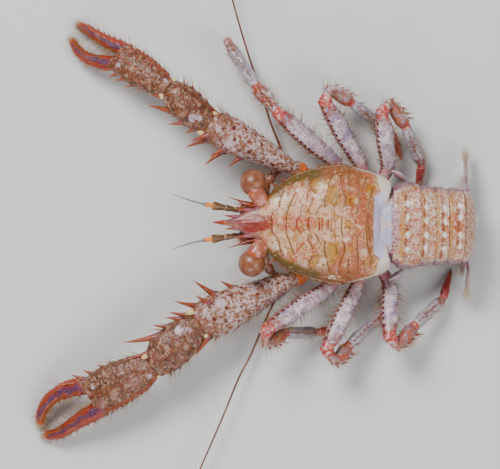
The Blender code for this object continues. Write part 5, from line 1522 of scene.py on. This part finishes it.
# The fifth legs: a pair of thin weak legs of lilac chitin that clean the gills. They grow
# from the last leg roots and are folded up under the rear edge of the shield.
FIFTH_LEGS = {
    "right": [(9.12, 1.85, 1.95), (9.76, 2.50, 2.05), (9.68, 3.05, 2.45), (9.08, 3.48, 2.70)],
    "left": [(9.12, -1.85, 1.95), (9.76, -2.50, 2.05), (9.68, -3.05, 2.45), (9.02, -3.50, 2.70)],
}


def fifth_legs():
    for name, side in SIDES.items():
        line = [vec(*place) for place in FIFTH_LEGS[name]]
        rows = [(0, 0.22, 0.22), (0.3, 0.22, 0.22), (0.6, 0.19, 0.19), (0.85, 0.22, 0.22), (1, 0.10, 0.10)]
        rod = Limb(line, rows, side, across=unit(np.cross(line[1] - line[0], line[3] - line[1])))
        shape = Shape()
        rod.skin(shape, 60, 28)
        shape.piece("cleaning_leg_" + name, LEG_FINISH, "leg_shell", ["leg_5_" + name])


fifth_legs()


# The setae: stiff hollow hairs that grow from pores in rows and tufts along the edges of
# legs and claws, round the tail fan and along the ridges of the shield. Each one is a
# thin tapered blade of its own, and they are joined into one piece for each region.
def hair_finish():
    finish = Finish("seta_bristle", (150, 108, 62), roughness=(0.30, 0.50), relief=0.002, grain=0.05)
    finish.coat((112, 62, 42), (0.9, 0.45, 0.60), strength=0.7)
    finish.coat((206, 176, 128), ("tip", 0.25, 1.0), strength=0.8)
    finish.coat((222, 206, 184), ("pale", 0.3, 0.9), strength=0.9)
    return finish.done(coat=0.2)


HAIR_FINISH = hair_finish()
HAIR_RINGS = vec(0, 0.35, 0.70)
HAIR_SIDES = 3
HAIR_RADIUS = 0.015
PATCH = 0.003


class Coat:
    """The hairs of one region, each with its root's place on the unwrapped skin."""

    def __init__(self, strips):
        self.shape = Shape()
        self.strips = strips
        self.strip = 0

    def grow(self, roots, ways, bends, lengths, u, v, radius=HAIR_RADIUS, pale=0.0):
        """Adds hairs: roots, unit directions, bends and lengths, and places u and v in the strip."""
        count = len(roots)
        ways = unit(ways)
        side = unit(np.cross(ways, UP + vec(0.013, 0.021, 0)))
        other = np.cross(ways, side)
        t = HAIR_RINGS[None, :, None]
        reach = lengths[:, None, None]
        centre = roots[:, None] + reach * (ways[:, None] * t + bends[:, None] * t * t)
        spin = 2 * math.pi * np.arange(HAIR_SIDES) / HAIR_SIDES
        ring = (np.cos(spin)[None, :, None] * side[:, None] + np.sin(spin)[None, :, None] * other[:, None])[:,
                None]
        size = (radius * (1 - 0.75 * HAIR_RINGS))[None, :, None, None]
        walls = (centre[:, :, None] + size * ring).reshape(count, -1, 3)
        tips = (roots + lengths[:, None] * (ways + bends))[:, None]
        points = np.concatenate([walls, tips], axis=1)
        each = points.shape[1]
        quads, ends = [], []
        for step in range(len(HAIR_RINGS) - 1):
            for k in range(HAIR_SIDES):
                a, b = step * HAIR_SIDES + k, step * HAIR_SIDES + (k + 1) % HAIR_SIDES
                quads.append((a, b, b + HAIR_SIDES, a + HAIR_SIDES))
        last = (len(HAIR_RINGS) - 1) * HAIR_SIDES
        for k in range(HAIR_SIDES):
            ends.append((last + k, last + (k + 1) % HAIR_SIDES, each - 1))
        ends.append((2, 1, 0))
        start = (np.arange(count) * each)[:, None, None]
        along = np.concatenate([np.repeat(HAIR_RINGS, HAIR_SIDES), [1.0]])
        round_it = np.concatenate([np.tile(np.arange(HAIR_SIDES) / HAIR_SIDES, len(HAIR_RINGS)), [0.5]])
        u = np.asarray(u)[:, None] + PATCH * (along - 0.5)
        v = (self.strip + np.clip(np.asarray(v), 0.02, 0.98))[:, None] / self.strips + PATCH * (round_it - 0.5)
        values = {"tip": np.tile(along, count), "u": u.ravel(), "v": v.ravel(),
                  "pale": np.full(count * each, pale)}
        faces = [(start + np.array(group)[None]).reshape(-1, len(group[0])) for group in (quads, ends)]
        self.shape.add(points.reshape(-1, 3), faces, values)

    def along(self, limb, bands, seed, pale=0.0):
        """Hairs on a limb: each band has its degrees and spread round the limb, first and
        last share, hairs per mm, length, degrees of lean to the far end and radius."""
        draw = np.random.default_rng(seed)
        for degrees, spread, first, last, per_mm, length, lean, radius in bands:
            count = int(per_mm * (last - first) * limb.length) + 1
            share = draw.uniform(first, last, count)
            turn = np.radians(draw.normal(degrees, spread, count))
            place, normal, heading = limb.surface(share, turn)
            tilt = np.radians(draw.normal(lean, 12, count))[:, None]
            ways = normal * np.cos(tilt) + heading * np.sin(tilt) + draw.normal(0, 0.10, (count, 3))
            bends = heading * 0.25 + draw.normal(0, 0.10, (count, 3))
            lengths = length * draw.uniform(0.45, 1.15, count)
            floor = np.maximum(0.02 - place[:, 2] - lengths * (unit(ways)[:, 2] + bends[:, 2]), 0)
            bends[:, 2] += floor / lengths
            self.grow(place - normal * 0.02, ways, bends, lengths, np.clip(share, 0.01, 0.99),
                      turn / (2 * math.pi) % 1, radius, pale)
        self.strip += 1

    def over(self, places, chance, count, length, way, seed, radius=0.009, pale=0.0):
        """Hairs on a grid of places, drawn more often where chance is high."""
        draw = np.random.default_rng(seed)
        chance = (chance * np.ones(places.shape[:2])).ravel()
        picked = draw.choice(chance.size, count, p=chance / chance.sum())
        normal = unit(np.cross(np.gradient(places, axis=1), np.gradient(places, axis=0)))
        normal = normal * np.sign((normal * (places - places.mean((0, 1)))).sum(-1))[..., None]
        normal = normal.reshape(-1, 3)[picked]
        ways = normal * 0.6 + way * (0.6 + 0.5 * draw.random((count, 1))) + draw.normal(0, 0.12, (count, 3))
        rows, columns = places.shape[:2]
        self.grow(places.reshape(-1, 3)[picked] - normal * 0.02, ways, draw.normal(0, 0.10, (count, 3)),
                  length * draw.uniform(0.6, 1.2, count), np.clip(picked // columns / rows, 0.01, 0.99),
                  picked % columns / columns, radius, pale)
        self.strip += 1

    def piece(self, name, slot):
        made = self.shape.piece(name, HAIR_FINISH, slot, outward=False)
        corners = np.zeros(len(made.data.loops), np.int32)
        made.data.loops.foreach_get("vertex_index", corners)
        places = []
        for axis in ("u", "v"):
            values = np.zeros(len(made.data.vertices), np.float32)
            made.data.attributes[axis].data.foreach_get("value", values)
            places.append(values[corners])
        layer = made.data.uv_layers.new(name="OFBake")
        layer.data.foreach_set("uv", np.stack(places, -1).ravel())


def claw_hairs():
    edges = [(182, 18, 0.06, 0.96, 14, 0.95, 40, HAIR_RADIUS), (-2, 18, 0.06, 0.96, 7, 1.20, 40, HAIR_RADIUS),
             (90, 55, 0.05, 0.95, 5, 0.30, 55, 0.010)]
    for name in SIDES:
        coat = Coat(7)
        for number, kind in enumerate(("ischium", "merus", "carpus", "palm")):
            coat.along(CLAW_LIMBS[(name, kind)][0], edges if number else edges[2:], number + 3)
        fixed, moving = CLAW_LIMBS[(name, "palm")][1], CLAW_LIMBS[(name, "finger")][0]
        gape = [(30, 45, 0.02, 0.92, 48, 0.80, 30, 0.010), (90, 50, 0.3, 0.95, 14, 0.4, 50, 0.011)]
        coat.along(fixed, gape + [(184, 14, 0.1, 0.9, 8, 0.7, 40, 0.013)], 20)
        gape = [(150, 45, 0.05, 0.92, 44, 0.70, 30, 0.010), (90, 50, 0.3, 0.95, 14, 0.4, 50, 0.011)]
        coat.along(moving, gape + [(-4, 14, 0.1, 0.9, 8, 0.8, 40, 0.013)], 21)
        coat.strip = 6
        tufts = [(90, 100, 0.93, 1.0, 420, 0.34, 60, 0.010)]
        coat.along(fixed, tufts, 22, 1.0)
        coat.strip = 6
        coat.along(moving, tufts, 23, 1.0)
        coat.piece("claw_setae_" + name, "claw_shell")


def leg_hairs():
    bands = {
        "merus": [(30, 18, 0.10, 0.98, 15, 0.90, 30, 0.013), (172, 18, 0.15, 0.98, 13, 0.90, 30, 0.013),
                  (-60, 20, 0.15, 0.95, 5, 0.6, 35, 0.012), (90, 60, 0.1, 0.95, 8, 0.16, 55, 0.007)],
        "carpus": [(70, 35, 0.05, 0.98, 26, 0.85, 30, 0.013), (180, 25, 0.1, 0.95, 14, 0.7, 30, 0.012)],
        "propodus": [(80, 25, 0.03, 0.98, 18, 0.85, 32, 0.013), (-80, 25, 0.05, 0.98, 14, 0.65, 35, 0.012),
                     (0, 20, 0.05, 0.98, 8, 0.5, 35, 0.012)],
        "dactylus": [(80, 40, 0.05, 0.80, 18, 0.45, 40, 0.012), (-80, 40, 0.05, 0.80, 14, 0.35, 40, 0.010)],
    }
    for name in SIDES:
        coat = Coat(12)
        for number in (2, 3, 4):
            for kind, limb in leg_limbs(name, number).items():
                coat.along(limb, bands[kind], number * 7 + len(kind))
        coat.piece("leg_setae_" + name, "leg_shell")


def edge_share(places):
    """How far each place lies from the midline, up to 1 at its row's edge."""
    aside = np.abs(places[..., 1])
    return aside / aside.max(axis=1, keepdims=True)


def body_hairs():
    coat = Coat(2)
    places, line = SHIELD
    coat.over(places, ramp(line, 0.3, 0.9) * ramp(places[..., 0], 0.3, 1.2), 2600, 0.15, vec(-1, 0, 0.1), 31,
              0.006, 0.5)
    aside = edge_share(places)
    coat.over(places, ramp(aside, 0.97, 0.995) * ramp(places[..., 0], 0.8, 1.6), 500, 0.35, vec(-0.8, 0, 0.1), 32,
              0.008, 0.3)
    coat.piece("carapace_setae", "carapace_shell")
    coat = Coat(6)
    for number, places in TERGITES.items():
        aside = edge_share(places)
        bare = ramp(np.linspace(0, 1, len(places)), 0.2, 0.35)[:, None]
        coat.over(places, bare * ramp(aside, 1.0, 0.8), 420, 0.16, vec(0.9, 0, 0.0), number + 40, 0.006, 0.6)
        coat.strip -= 1
        coat.over(places, bare * ramp(aside, 0.985, 1.0) + 1e-9, 18, 0.80, vec(0.5, 0, 0.1), number + 50, 0.011,
                  1.0)
    coat.piece("abdomen_setae", "abdomen_shell")
    coat = Coat(5)
    for number, limb in enumerate(TAIL_BLADES):
        first = 0.35 if number else 0.55
        fringe = [(90, 5, first, 1.0, 50, 0.60, 56, 0.009), (-90, 5, first, 1.0, 50, 0.60, 56, 0.009),
                  (0, 60, 0.96, 1.0, 900, 0.95, 80, 0.009), (180, 60, 0.96, 1.0, 900, 0.95, 80, 0.009)]
        coat.along(limb, fringe, number + 60, 1.0)
    coat.piece("tail_setae", "tail_fan")


claw_hairs()
leg_hairs()
body_hairs()
